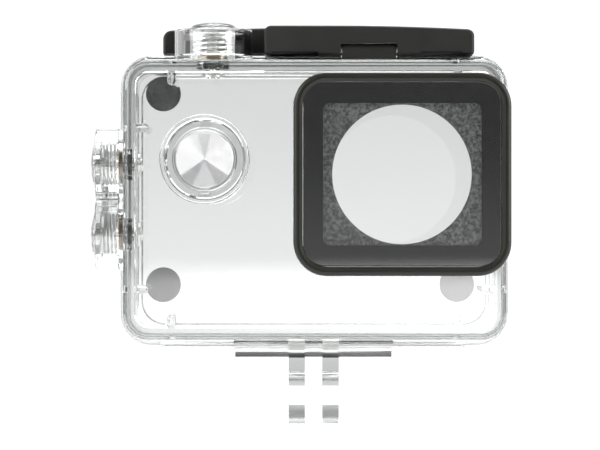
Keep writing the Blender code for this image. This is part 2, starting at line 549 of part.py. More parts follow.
def make_gasket_and_pads(mats):
    """The silicone gasket in its groove, and four foam pads on the pocket's floor."""
    hinge = (0, HINGE_Y, HINGE_Z)
    gasket_back = DOOR_Y + GROOVE_DEPTH - GASKET_SIDE_GAP
    pocket_ring("door_gasket", GROOVE_OFFSET + GASKET_SIDE_GAP, GROOVE_W - 2 * GASKET_SIDE_GAP,
                REAR_Y + SEAL_GAP, gasket_back, PARTS, mats["silicone"], hinge)
    floor_y = DOOR_Y + DOOR_POCKET_DEPTH - SEAL_GAP
    left, right = INNER_LEFT_X + PAD_LEFT_INSET, INNER_RIGHT_X - PAD_RIGHT_INSET
    top, bottom = CAVITY_TOP_Z - PAD_TOP_INSET, CAVITY_BOTTOM_Z + PAD_BOTTOM_INSET
    spots = {"top_left": (left, top), "top_right": (right, top), "bottom_left": (left, bottom),
             "bottom_right": (right, bottom)}
    for corner, (x, z) in spots.items():
        bm = bmesh.new()
        bmesh.ops.create_cone(bm, cap_ends=True, segments=ROUND, radius1=PAD_R, radius2=PAD_R, depth=PAD_T)
        bmesh.ops.rotate(bm, matrix=Matrix.Rotation(pi / 2, 3, "X"), verts=bm.verts)
        bmesh.ops.translate(bm, vec=(x, floor_y - PAD_T / 2 - HINGE_Y, z - HINGE_Z), verts=bm.verts)
        link_mesh(f"pad_{corner}", bm, PARTS, mats["foam"], at(*hinge))


def ramp_cutter(name, gap, above):
    """A slanted block: above the door lip's ramp, or below the hook's, which stands off by gap."""
    slope = radians(HOOK_RAMP_DEG)
    start = Vector((0, DOOR_BACK_Y - RAMP_RUN + gap * sin(slope), FLANGE_TOP_Z + gap * cos(slope)))
    length, depth = FLANGE_DEPTH + DOOR_RIM_T + LATCH_TOP, LATCH_TOP
    x0, x1 = FLANGE_LEFT_X - EPS, FLANGE_LEFT_X + FLANGE_W + EPS
    span = (0.0, depth) if above else (-depth, 0.0)
    reach = (-RAMP_RUN * RAMP_START_SHARE, length) if above else (-HOOK_RAMP_START, length)
    bm = block_mesh((x0, reach[0], span[0]), (x1, reach[1], span[1]))
    bmesh.ops.rotate(bm, matrix=Matrix.Rotation(-slope, 3, "X"), verts=bm.verts)
    return link_mesh(name, bm, GUIDES, None, at(*start))


def make_latch(mats):
    """The latch lever: a hollow bar with a tail behind the top button, hinged at its front edge."""
    bottom = ROOF_Z + LATCH_ROOF_GAP
    over_flange = FLANGE_TOP_Z + REST_GAP
    lever = block("latch_lever", (LATCH_X0, LATCH_Y0, bottom), (LATCH_X1, LATCH_Y1, LATCH_TOP_Z), PARTS,
                  mats["latch"], origin=(0, LATCH_PIN_Y, LATCH_PIN_Z), radius=LATCH_CORNER_R, segments=4)
    tail_x1 = LATCH_X0 + LATCH_WALL + LATCH_CORNER_R
    join(lever, block("latch_tail", (LATCH_TAIL_X0, TAIL_Y0, bottom),
                      (tail_x1, LATCH_Y1 - SEAL_GAP, LATCH_TOP_Z - LATCH_TAIL_STEP), GUIDES,
                      radius=LATCH_CORNER_R, axis=1, segments=4))
    pocket_top = LATCH_TOP_Z - LATCH_TOP_WALL
    hook_y = DOOR_BACK_Y - HOOK_T
    front_y = LATCH_Y0 + LATCH_FRONT_WALL
    low = bottom - EPS
    cut(lever, block("bar_hollow", (LATCH_X0 + LATCH_WALL, front_y, low),
                     (LATCH_X1 - LATCH_WALL, hook_y, pocket_top), GUIDES))
    cut(lever, block("tail_hollow", (LATCH_TAIL_X0 + LATCH_WALL, TAIL_Y0 + LATCH_WALL, low),
                     (LATCH_X0 + LATCH_WALL + OVERLAP, hook_y, pocket_top - LATCH_TAIL_STEP), GUIDES))
    x0, x1 = LATCH_TAIL_X0 - EPS, LATCH_X1 + EPS
    flange_y = REAR_Y - FLANGE_DEPTH - HOOK_FLANGE_GAP
    cut(lever, block("flange_relief", (x0, flange_y, low), (x1, hook_y + PIN_CLEARANCE, over_flange), GUIDES))
    half_notch = LUG_W / 2 + LUG_SIDE_GAP
    cut(lever, block("notch", (LATCH_MID_X - half_notch, LATCH_Y0 - EPS, low),
                     (LATCH_MID_X + half_notch, front_y + EPS, LATCH_PIN_Z + LUG_R + LUG_CLEARANCE), GUIDES))
    cut(lever, nose_cutter(bottom))
    cut(lever, ramp_cutter("hook_ramp", HOOK_GAP, above=False))
    tip = FLANGE_TOP_Z - HOOK_BITE
    cut(lever, block("hook_tip", (x0, hook_y - HOOK_T, low - LATCH_TOP_WALL), (x1, LATCH_Y1 + EPS, tip),
                     GUIDES))
    half_pin = LUG_W / 2 + PIN_TAB
    cut(lever, rod("lever_pin_bore", LATCH_MID_X - half_pin - REST_GAP, LATCH_X1 + EPS, LATCH_PIN_Y,
                   LATCH_PIN_Z, LATCH_PIN_R + PIN_CLEARANCE, GUIDES))
    rod("latch_pin", LATCH_MID_X - half_pin, LATCH_MID_X + half_pin, LATCH_PIN_Y, LATCH_PIN_Z, LATCH_PIN_R,
        PARTS, mats["steel"])


def nose_cutter(bottom):
    """A bar turned by 45 degrees that chamfers the lever's lower front edge, which swings down to the roof."""
    depth, reach = LATCH_NOSE_CHAMFER / 2 ** 0.5, 2 * LATCH_NOSE_CHAMFER
    bm = block_mesh((LATCH_X0 - EPS, -reach, -reach), (LATCH_X1 + EPS, depth, reach))
    bmesh.ops.rotate(bm, matrix=Matrix.Rotation(pi / 4, 3, "X"), verts=bm.verts)
    return link_mesh("nose_chamfer", bm, GUIDES, None, at(0, LATCH_Y0, bottom))


def make_lens(mats):
    """Bezel, window, mask and window seal, stacked on the lens port."""
    centre = (PORT_X, PORT_Z)
    bezel_back = PORT_FRONT_Y - REST_GAP
    bezel_front = bezel_back - BEZEL_T
    hole_w, hole_h = BEZEL_W - 2 * BEZEL_BAND, BEZEL_H - 2 * BEZEL_BAND
    frame_ring("lens_bezel", (BEZEL_W, BEZEL_H), (hole_w, hole_h), BEZEL_R, WINDOW_R + WINDOW_GAP, bezel_front,
               bezel_back, PARTS, mats["bezel"], centre)
    window_w, window_h = hole_w - 2 * WINDOW_GAP, hole_h - 2 * WINDOW_GAP
    window_front = bezel_front + WINDOW_RECESS
    window_back = window_front + WINDOW_T
    plate("lens_window", window_w, window_h, WINDOW_R, window_front, window_back, PARTS, mats["glass"],
          centre=centre)
    seal_w, seal_h, seal_r = window_w - 2 * SEAL_INSET, window_h - 2 * SEAL_INSET, WINDOW_R - SEAL_INSET
    frame_ring("lens_seal", (seal_w, seal_h), (seal_w - 2 * SEAL_BAND, seal_h - 2 * SEAL_BAND), seal_r,
               seal_r - SEAL_BAND, PORT_FRONT_Y - SEAL_GAP - SEAL_T, PORT_FRONT_Y - SEAL_GAP, PARTS,
               mats["silicone"], centre)
    mask = plate("lens_mask", MASK_W, MASK_H, MASK_R, PORT_FRONT_Y + MASK_SEAT_DEPTH - SEAL_GAP - MASK_T,
                 PORT_FRONT_Y + MASK_SEAT_DEPTH - SEAL_GAP, PARTS, mats["mask"], centre=centre)
    cut_depth = MASK_T + MASK_SEAT_DEPTH
    axis = at(PORT_X, PORT_FRONT_Y + MASK_SEAT_DEPTH, PORT_Z) @ Matrix.Rotation(-pi / 2, 4, "X")
    hole = turned("mask_hole", [(0, EPS), (MASK_HOLE_R, EPS), (MASK_HOLE_R, -cut_depth), (0, -cut_depth)],
                  GUIDES, matrix=axis, sides=MASK_HOLE_SIDES)
    cut(mask, hole)


def make_buttons():
    """The four push buttons, each placed on the inner face of its wall."""
    top = Button("top_button", (TOP_BUTTON_X, TOP_BUTTON_Y, CAVITY_TOP_Z), Vector((0, 0, 1)), TOP_GUARD_R,
                 TOP_POCKET_R, TOP_GUARD_Z)
    sides = [Button(f"side_button_{level}", (INNER_LEFT_X, SIDE_BUTTON_Y, z), Vector((-1, 0, 0)), SIDE_GUARD_R,
                    SIDE_POCKET_R, SIDE_GUARD_Z)
             for level, z in (("upper", SIDE_BUTTON_UP_Z), ("lower", SIDE_BUTTON_UP_Z - SIDE_BUTTON_PITCH))]
    shutter = Button("shutter", (SHUTTER_X, INNER_FRONT_Y, SHUTTER_Z), Vector((0, -1, 0)), SHUTTER_GUARD_R,
                     SHUTTER_POCKET_R, SHUTTER_GUARD_Z, SHUTTER_RECESS)
    return top, sides, shutter


def main():
    """Build every piece."""
    mats = {
        "clear": material("clear_polycarbonate", (0.93, 0.95, 0.95), 0.04, transmission=1.0),
        "cap": material("frosted_cap", (0.82, 0.84, 0.84), 0.22, transmission=0.8),
        "glass": material("window_glass", (0.90, 0.93, 0.93), 0.02, transmission=1.0),
        "latch": material("latch_plastic", (0.028, 0.028, 0.026), 0.5),
        "bezel": material("bezel_plastic", (0.02, 0.018, 0.016), 0.32),
        "mask": material("mask_plastic", (0.05, 0.052, 0.052), 0.7),
        "steel": material("steel", (0.72, 0.72, 0.71), 0.25, metallic=1.0),
        "brass": material("brass", (0.72, 0.52, 0.24), 0.3, metallic=1.0),
        "rubber": material("black_rubber", (0.02, 0.02, 0.02), 0.6),
        "silicone": material("silicone", (0.85, 0.86, 0.86), 0.45),
        "foam": material("pad_foam", (0.03, 0.03, 0.032), 0.9),
    }
    top, sides, shutter = make_buttons()
    make_case([top, *sides, shutter], mats["clear"])
    make_door(mats["clear"])
    make_gasket_and_pads(mats)
    rod("hinge_pin", -DOOR_KNUCKLE_END + HINGE_PIN_INSET, DOOR_KNUCKLE_END - HINGE_PIN_INSET, HINGE_Y, HINGE_Z,
        HINGE_PIN_R, PARTS, mats["steel"])
    make_latch(mats)
    make_lens(mats)
    top.dome_cap(TOP_APEX_Z, TOP_DOME_R, mats)
    for button in sides:
        button.dome_cap(SIDE_APEX_Z, SIDE_DOME_R, mats)
    shutter.disc_cap(SHUTTER_TOP_Z, mats)


clear_scene()
PARTS = new_collection(OBJECT_NAME)
GUIDES = new_collection("cutters")
main()
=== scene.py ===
"""Looks of a clear dive housing for a small action camera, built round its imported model.

Sizes are in millimetres until a mesh is finished; +X is right seen from the front, -Y is the front, +Z is up.
"""

import logging
from dataclasses import dataclass
from enum import Enum
from math import cos, pi, radians, sin
from typing import Callable, Iterable, Optional, Sequence, Union

import bmesh
import bpy
from mathutils import Matrix, Vector


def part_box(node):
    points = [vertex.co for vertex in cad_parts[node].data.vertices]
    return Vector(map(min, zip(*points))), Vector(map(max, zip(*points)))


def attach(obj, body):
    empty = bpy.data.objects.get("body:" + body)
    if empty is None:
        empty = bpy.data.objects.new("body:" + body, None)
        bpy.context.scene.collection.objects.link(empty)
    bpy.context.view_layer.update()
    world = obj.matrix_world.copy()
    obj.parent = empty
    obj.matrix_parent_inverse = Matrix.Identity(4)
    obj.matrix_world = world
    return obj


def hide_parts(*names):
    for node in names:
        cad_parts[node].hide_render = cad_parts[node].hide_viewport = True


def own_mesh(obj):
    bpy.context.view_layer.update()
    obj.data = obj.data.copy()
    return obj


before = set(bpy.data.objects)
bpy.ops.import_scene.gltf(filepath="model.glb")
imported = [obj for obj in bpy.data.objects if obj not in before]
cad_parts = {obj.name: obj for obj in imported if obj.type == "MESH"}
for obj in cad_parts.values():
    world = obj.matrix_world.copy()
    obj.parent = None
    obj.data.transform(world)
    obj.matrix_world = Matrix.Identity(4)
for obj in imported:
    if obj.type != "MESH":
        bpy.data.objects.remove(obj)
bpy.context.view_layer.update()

LOG = logging.getLogger("dive_housing")
MM = 0.001
OVERLAP = 0.3
PAST = 0.5
PIVOT_R, HINGE_HOLE_R, LATCH_HOLE_R = 2.5, 0.95, 0.55
HINGE_PIN_R, LATCH_PIN_R = 0.9, 0.5
MASK_R = 2.4
LIP_CHAMFER, LIP_SLOPE = 1.9, radians(30)
Number = Union[float, "Wire"]


# ------------ shader arithmetic

def arithmetic(operation: str, swapped: bool = False) -> Callable:
    """Make the method behind one of a wire's operators; a swapped one puts the other value first."""
    def method(self: "Wire", other: Number) -> "Wire":
        first, second = (other, self) if swapped else (self, other)
        return self.shader.node("ShaderNodeMath", {"operation": operation}, {0: first, 1: second})
    return method


class Wire:
    """A node output that takes part in ordinary arithmetic."""

    __add__ = __radd__ = arithmetic("ADD")
    __mul__ = __rmul__ = arithmetic("MULTIPLY")
    __sub__, __rsub__ = arithmetic("SUBTRACT"), arithmetic("SUBTRACT", swapped=True)
    __truediv__ = arithmetic("DIVIDE")

    def __init__(self, shader: "Shader", socket: bpy.types.NodeSocket) -> None:
        """Wrap one output socket of a shader's tree."""
        self.shader = shader
        self.socket = socket

    def clamp(self, low: float, high: float) -> "Wire":
        """Map low to 0 and high to 1 along a smooth curve, clamped at both ends."""
        return self.shader.node("ShaderNodeMapRange", {"interpolation_type": "SMOOTHSTEP"},
                                {"Value": self, "From Min": low, "From Max": high})


class Shader:
    """A node tree with one method that makes nodes."""

    def __init__(self, tree: bpy.types.NodeTree) -> None:
        """Keep the tree that nodes are added to."""
        self.tree = tree

    def node(self, kind: str, settings: Optional[dict] = None, inputs: Optional[dict] = None,
             output: Union[int, str] = 0) -> Wire:
        """Make a node.

        Args:
            kind: the node's type.
            settings: its properties, set first.
            inputs: values or wires by socket name or number.
            output: the socket to return.

        Returns:
            The chosen output, ready for arithmetic.
        """
        made = self.tree.nodes.new(kind)
        for key, value in (settings or {}).items():
            setattr(made, key, value)
        for key, value in (inputs or {}).items():
            self.feed(made.inputs[key], value)
        return Wire(self, made.outputs[output])

    def feed(self, socket: bpy.types.NodeSocket, value: object) -> None:
        """Link a wire to a socket, or set the socket to a value."""
        if isinstance(value, Wire):
            self.tree.links.new(value.socket, socket)
        else:
            socket.default_value = value

    def place(self, scale: Sequence[float] = (1, 1, 1), centre: Sequence[float] = (0, 0, 0)) -> Wire:
        """Object coordinates in millimetres, centred and stretched."""
        spot = self.node("ShaderNodeTexCoord", output="Object")
        moved = self.node("ShaderNodeVectorMath", {"operation": "SUBTRACT"},
                          {0: spot, 1: [value * MM for value in centre]})
        return self.node("ShaderNodeMapping", None,
                         {"Vector": moved, "Scale": [value / MM for value in scale]})

    def noise(self, size: float, detail: float = 3.0, roughness: float = 0.55,
              stretch: Sequence[float] = (1, 1, 1)) -> Wire:
        """Soft noise whose features are about size millimetres across."""
        return self.node("ShaderNodeTexNoise", None,
                         {"Vector": self.place(stretch), "Scale": 1.0 / size, "Detail": detail,
                          "Roughness": roughness})

    def tint(self, factor: Wire, first: Sequence[float], second: Sequence[float]) -> Wire:
        """Mix two colours."""
        return self.node("ShaderNodeMix", {"data_type": "RGBA"},
                         {"Factor": factor, 6: (*first, 1.0), 7: (*second, 1.0)}, output=2)

    def bump(self, height: Wire, distance: float, strength: float = 1.0) -> Wire:
        """Turn a height into a normal; the distance is in millimetres."""
        return self.node("ShaderNodeBump", None,
                         {"Height": height, "Distance": distance * MM, "Strength": strength})


class Finish:
    """Base of every finish: makes a Principled material on first use and keeps it."""

    made: dict = {}

    def material(self) -> bpy.types.Material:
        """Return the finish's material."""
        if self not in Finish.made:
            built = bpy.data.materials.new(self.name)
            built.use_nodes = True
            shader = Shader(built.node_tree)
            inputs = built.node_tree.nodes["Principled BSDF"].inputs
            for key, value in self.sockets(shader).items():
                shader.feed(inputs[key], value)
            self.thicken(shader)
            Finish.made[self] = built
        return Finish.made[self]

    def thicken(self, shader: Shader) -> None:
        """Add what happens inside a solid; most finishes stop at the surface."""


@dataclass(frozen=True)
class ClearPlastic(Finish):
    """Moulded clear plastic: polished, with a faint flow ripple and handling haze."""

    name: str
    colour: tuple = (0.985, 0.99, 0.99)
    gloss: float = 0.012
    haze: float = 0.045
    ripple: float = 0.004
    index: float = 1.585
    depths: tuple = (0.5, 0.53, 0.51)
    density: float = 36.0

    def sockets(self, shader: Shader) -> dict:
        """What the Principled shader gets."""
        flow = shader.noise(9.0, 1.5, 0.4)
        specks = shader.noise(0.5, 2.0).clamp(0.62, 0.8)
        return {"Base Color": shader.tint(flow, self.colour, [value * 0.985 for value in self.colour]),
                "Roughness": self.gloss + specks * self.haze,
                "Transmission Weight": 1.0, "IOR": self.index,
                "Normal": shader.bump(flow, self.ripple)}

    def thicken(self, shader: Shader) -> None:
        """Let long ways through the plastic turn grey."""
        soak = shader.node("ShaderNodeVolumeAbsorption", None,
                           {"Color": (*self.depths, 1.0), "Density": self.density})
        shader.feed(shader.tree.nodes["Material Output"].inputs["Volume"], soak)


@dataclass(frozen=True)
class Moulding(Finish):
    """Opaque moulded plastic with a spark-eroded grain and slightly polished patches."""

    name: str
    dark: tuple
    light: tuple
    gloss: float
    rough: float
    grain: float
    depth: float
    specular: float = 0.5

    def sockets(self, shader: Shader) -> dict:
        """What the Principled shader gets."""
        grain = shader.noise(self.grain, 4.0, 0.6)
        wear = shader.noise(7.0, 3.0).clamp(0.35, 0.7)
        return {"Base Color": shader.tint(grain.clamp(0.35, 0.7), self.dark, self.light),
                "Roughness": self.gloss + wear * (self.rough - self.gloss),
                "Specular IOR Level": self.specular,
                "Normal": shader.bump(grain, self.depth)}


@dataclass(frozen=True)
class Metal(Finish):
    """Drawn or turned metal with fine scratches."""

    name: str
    dark: tuple
    light: tuple
    rough: float
    scratch: tuple = (1, 1, 1)

    def sockets(self, shader: Shader) -> dict:
        """What the Principled shader gets."""
        lines = shader.noise(0.35, 4.0, 0.6, self.scratch)
        return {"Base Color": shader.tint(lines, self.dark, self.light), "Metallic": 1.0,
                "Roughness": self.rough + (lines - 0.5) * 0.12,
                "Normal": shader.bump(lines, 0.006)}


@dataclass(frozen=True)
class SpunMetal(Finish):
    """Bright metal faced on a lathe: fine rings about Y, with a dark fan below and a dark drop above painted
    into its colour as reflections.
    """

    name: str
    centre: tuple
    colour: tuple = (0.93, 0.93, 0.94)
    # dark colour of the painted reflections, also used for the faint stains
    stain_and_painted_reflection: tuple = (0.12, 0.12, 0.125)
    pitch: float = 0.14
    depth: float = 0.011

    def sockets(self, shader: Shader) -> dict:
        """What the Principled shader gets."""
        spot = shader.place(centre=self.centre)
        rings = shader.node("ShaderNodeTexWave", {"wave_type": "RINGS", "rings_direction": "Y"},
                            {"Vector": spot, "Scale": 0.314 / self.pitch, "Distortion": 0.35,
                             "Detail": 1.0}, output="Fac")
        flat = shader.node("ShaderNodeVectorMath", {"operation": "MULTIPLY"}, {0: spot, 1: (1, 0, 1)})
        reach = shader.node("ShaderNodeVectorMath", {"operation": "LENGTH"}, {0: flat}, output="Value")
        upward = shader.node("ShaderNodeSeparateXYZ", None, {0: spot}, output="Z") / (reach + 0.01)
        # painted reflection: a dark fan below the disc's centre and a dark drop above it are mixed into the
        # base colour by angle, in place of the lathe rings' own reflections; the faint stain noise is the
        # metal's own tone
        painted_dark_fan = (0 - upward).clamp(0.52, 0.62) * (1 - (0 - upward).clamp(0.86, 0.97) * 0.6) * 0.5
        painted_dark_drop = upward.clamp(0.955, 0.975) * (1 - reach.clamp(4.3, 4.7)) * 0.22
        stain = shader.noise(2.0, 3.0) * 0.06
        return {"Base Color": shader.tint(painted_dark_fan + painted_dark_drop + stain, self.colour, self.stain_and_painted_reflection),
                "Metallic": 1.0, "Roughness": 0.16 + rings * 0.1,
                "Normal": shader.bump(rings, self.depth)}


@dataclass(frozen=True)
class SoftRubber(Finish):
    """Rubber, silicone or foam: matt, with a fine pore and a dusty bloom."""

    name: str
    dark: tuple
    light: tuple
    pore: float = 0.3
    depth: float = 0.03
    rough: float = 0.75
    transmission: float = 0.0

    def sockets(self, shader: Shader) -> dict:
        """What the Principled shader gets."""
        pores = shader.noise(self.pore, 5.0, 0.7)
        bloom = shader.noise(3.0, 2.0)
        return {"Base Color": shader.tint((pores * 0.6 + bloom * 0.4).clamp(0.3, 0.7), self.dark, self.light),
                "Roughness": self.rough - 0.15 * bloom, "Transmission Weight": self.transmission,
                "Normal": shader.bump(pores, self.depth)}


class Look(Enum):
    """The finishes of this object."""

    CLEAR = ClearPlastic("clear_polycarbonate")
    CAP = ClearPlastic("button_cap_plastic", (0.93, 0.935, 0.935), 0.05, 0.08, 0.01,
                       depths=(0.5, 0.51, 0.5), density=170.0)
    GLASS = ClearPlastic("window_glass", (0.985, 0.99, 0.985), 0.0, 0.0, 0.0, 1.52)
    LATCH = Moulding("latch_plastic", (0.006, 0.006, 0.0055), (0.012, 0.012, 0.011), 0.42, 0.58, 0.16,
                     0.02, 0.25)
    BEZEL = Moulding("bezel_plastic", (0.009, 0.009, 0.007), (0.015, 0.015, 0.012), 0.3, 0.42, 0.12,
                     0.008, 0.28)
    MASK = Moulding("mask_plastic", (0.008, 0.01, 0.009), (0.17, 0.175, 0.172), 0.55, 0.7, 0.5, 0.04)
    PRINT = Moulding("border_print", (0.0008, 0.0008, 0.0008), (0.0014, 0.0014, 0.0014), 0.55, 0.7, 0.3,
                     0.001, 0.0)
    STEEL = Metal("stainless_steel", (0.55, 0.55, 0.54), (0.78, 0.78, 0.77), 0.24)
    DRAWN = Metal("drawn_steel", (0.7, 0.7, 0.68), (0.9, 0.9, 0.88), 0.36, (0.15, 1, 1))
    BRASS = Metal("brass", (0.12, 0.085, 0.05), (0.26, 0.19, 0.12), 0.34)
    RUBBER = SoftRubber("black_rubber", (0.012, 0.012, 0.012), (0.03, 0.03, 0.03), 0.2, 0.01, 0.5)
    SILICONE = SoftRubber("white_silicone", (0.78, 0.79, 0.79), (0.9, 0.91, 0.91), 0.8, 0.01, 0.4, 0.55)
    FOAM = SoftRubber("pad_foam", (0.02, 0.02, 0.021), (0.1, 0.1, 0.101), 0.45, 0.1, 0.95)


# ------------ forms

def span(edge: bmesh.types.BMEdge) -> Vector:
    """How far an edge reaches along each axis."""
    return Vector([abs(end) for end in edge.verts[0].co - edge.verts[1].co])


def facing(point: Sequence[float], outward: Sequence[float]) -> Matrix:
    """Place a form's local Z along outward, at a point."""
    return Matrix.Translation(point) @ Vector(outward).to_track_quat("Z", "Y").to_matrix().to_4x4()


def tilted(point: Sequence[float], angle: float) -> Matrix:
    """Place a form at a point, turned about X."""
    return Matrix.Translation(point) @ Matrix.Rotation(angle, 4, "X")


def front_of(x: float, y: float, z: float) -> Matrix:
    """Place a form so that its local Z points to the front and its local Y up."""
    return tilted((x, y, z), pi / 2)


class Form:
    """A closed mesh in millimetres, shaped with bmesh operators."""

    def __init__(self) -> None:
        """Start empty."""
        self.bm = bmesh.new()
        self.top: Optional[bmesh.types.BMFace] = None

    @classmethod
    def rectangle(cls, width: float, height: float, radius: float, segments: int = 10) -> "Form":
        """Start from a flat rounded rectangle, facing local Z."""
        form = cls()
        bmesh.ops.create_grid(form.bm, x_segments=1, y_segments=1, size=0.5)
        bmesh.ops.scale(form.bm, vec=(width, height, 1), verts=form.bm.verts)
        if radius:
            bmesh.ops.bevel(form.bm, geom=form.bm.verts[:], offset=radius, segments=segments, profile=0.5,
                            affect="VERTICES", material=-1)
        form.top = form.bm.faces[:][0]
        return form

    @classmethod
    def disc(cls, radius: float, sides: int = 64) -> "Form":
        """Start from a flat disc, facing local Z."""
        form = cls()
        bmesh.ops.create_circle(form.bm, cap_ends=True, radius=radius, segments=sides)
        form.top = form.bm.faces[:][0]
        if form.top.normal.z < 0:
            form.top.normal_flip()
        return form

    @classmethod
    def box(cls, low: Sequence[float], high: Sequence[float], edge: float = 0.0, segments: int = 3) -> "Form":
        """A box between two corners with all its edges rounded."""
        form = cls()
        low, high = Vector(low), Vector(high)
        bmesh.ops.create_cube(form.bm, size=1.0)
        bmesh.ops.scale(form.bm, vec=high - low, verts=form.bm.verts)
        bmesh.ops.translate(form.bm, vec=(low + high) / 2, verts=form.bm.verts)
        if edge:
            form.round_edges(form.bm.edges[:], edge, segments)
        return form

    @classmethod
    def turned(cls, profile: Sequence[tuple], steps: int = 64) -> "Form":
        """Spin an open profile of (radius, height) about local Z; ends off the axis are joined up."""
        form = cls()
        verts = [form.bm.verts.new((radius, 0, height)) for radius, height in profile]
        if profile[0][0] > 0:
            verts.append(verts[0])
        edges = [form.bm.edges.new(pair) for pair in zip(verts, verts[1:])]
        bmesh.ops.spin(form.bm, geom=list(dict.fromkeys(verts)) + edges, cent=(0, 0, 0), axis=(0, 0, 1),
                       angle=2 * pi, steps=steps, use_merge=True)
        bmesh.ops.remove_doubles(form.bm, verts=form.bm.verts, dist=0.00001)
        return form.outward()

    def outward(self) -> "Form":
        """Point every face outwards."""
        bmesh.ops.recalc_face_normals(self.bm, faces=self.bm.faces)
        return self

    def rise(self, height: float) -> "Form":
        """Extrude the top face along local Z."""
        below, attached = self.top, any(len(edge.link_faces) > 1 for edge in self.top.edges)
        grown = bmesh.ops.extrude_face_region(self.bm, geom=[below])["geom"]
        self.top = next(item for item in grown if isinstance(item, bmesh.types.BMFace))
        if attached:
            bmesh.ops.delete(self.bm, geom=[below], context="FACES_ONLY")
        bmesh.ops.translate(self.bm, vec=(0, 0, height), verts=self.top.verts[:])
        return self

    def step(self, inward: float, height: float = 0.0) -> "Form":
        """Inset the top face, and lift it."""
        bmesh.ops.inset_individual(self.bm, faces=[self.top], thickness=inward, use_even_offset=True)
        bmesh.ops.translate(self.bm, vec=(0, 0, height), verts=self.top.verts[:])
        return self

    def fillet(self, radius: float, steps: int = 4, hollow: bool = False) -> "Form":
        """Round the top edge over, or sweep into the top like a cove."""
        turns = [pi / 2 * i / steps for i in range(steps + 1)]
        path = [(radius * (1 - cos(t)), radius * sin(t)) for t in turns]
        if hollow:
            path = [(radius * sin(t), -radius * (1 - cos(t))) for t in turns]
        for (x0, z0), (x1, z1) in zip(path, path[1:]):
            self.step(x1 - x0, z1 - z0)
        return self

    def open_middle(self) -> "Form":
        """Turn the stack into a ring: take away its top and base faces and join their edges."""
        sides = len(self.top.verts)
        base = next(face for face in self.bm.faces if face is not self.top and len(face.verts) == sides)
        loops = list(self.top.edges) + list(base.edges)
        bmesh.ops.delete(self.bm, geom=[self.top, base], context="FACES_ONLY")
        bmesh.ops.bridge_loops(self.bm, edges=loops)
        return self.outward()

    def round_edges(self, edges: Iterable, radius: float, segments: int = 3) -> "Form":
        """Bevel some edges."""
        bmesh.ops.bevel(self.bm, geom=list(edges), offset=radius, segments=segments, profile=0.5,
                        affect="EDGES", material=-1)
        return self

    def put(self, matrix: Matrix) -> "Form":
        """Move the form."""
        bmesh.ops.transform(self.bm, matrix=matrix, verts=self.bm.verts)
        return self

    def mesh(self, name: str) -> bpy.types.Object:
        """Finish the form as an object in metres, at the origin."""
        bmesh.ops.scale(self.bm, vec=(MM, MM, MM), verts=self.bm.verts)
        data = bpy.data.meshes.new(name)
        self.bm.to_mesh(data)
        self.bm.free()
        made = bpy.data.objects.new(name, data)
        bpy.context.scene.collection.objects.link(made)
        return made


def carve(target: bpy.types.Object, operation: str, forms: Iterable[Form]) -> None:
    """Join forms to a target, or cut them out of it, and keep the result as its mesh."""
    for number, form in enumerate(forms):
        tool = form.outward().mesh(f"tool_{number}")
        step = target.modifiers.new("carve", "BOOLEAN")
        step.operation, step.solver, step.object = operation, "EXACT", tool
        bpy.context.view_layer.update()
        shaped = bpy.data.meshes.new_from_object(target.evaluated_get(bpy.context.evaluated_depsgraph_get()))
        target.modifiers.clear()
        spare, target.data = target.data, shaped
        bpy.data.meshes.remove(spare)
        bpy.data.objects.remove(tool, do_unlink=True)


def smooth(piece: bpy.types.Object, bevel: float = 0.0, angle: float = 32.0) -> bpy.types.Object:
    """Shade a piece smooth between its hard edges, which a narrow bevel may round first."""
    if bevel:
        rounding = piece.modifiers.new("edges", "BEVEL")
        rounding.width, rounding.segments, rounding.limit_method = bevel * MM, 2, "ANGLE"
        rounding.angle_limit, rounding.use_clamp_overlap = radians(angle), True
        rounding.miter_outer = "MITER_ARC"
    piece.data.shade_smooth()
    piece.data.set_sharp_from_angle(angle=radians(angle))
    weights = piece.modifiers.new("normals", "WEIGHTED_NORMAL")
    weights.keep_sharp = True
    return piece


def settle(piece: bpy.types.Object, body: str, slot: str, look: Union[Look, Finish],
           *replaced: str) -> bpy.types.Object:
    """Give a piece its finish and its body, and hide the CAD nodes that it stands for.

    Args:
        piece: the finished object.
        body: the body it rides on.
        slot: the record's material slot; not used.
        look: its finish.
        *replaced: CAD nodes that it replaces.

    Returns:
        The same piece.
    """
    finish = look.value if isinstance(look, Look) else look
    piece.data.materials.clear()
    piece.data.materials.append(finish.material())
    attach(piece, body)
    if replaced:
        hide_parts(*replaced)
    LOG.info("%s: %d faces on %s", piece.name, len(piece.data.polygons), body)
    return piece


def stand_in(form: Form, node: str, body: str, slot: str, look: Union[Look, Finish],
             bevel: float = 0.0) -> bpy.types.Object:
    """Finish a form as the fine piece of one CAD node."""
    return settle(smooth(form.mesh(node + "_fine"), bevel), body, slot, look, node)


def box_mm(node: str) -> tuple:
    """A CAD node's lowest and highest corners in millimetres."""
    low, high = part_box(node)
    return low / MM, high / MM


def middle(node: str) -> Vector:
    """The middle of a CAD node's box in millimetres."""
    low, high = box_mm(node)
    return (low + high) / 2


# ------------ push buttons

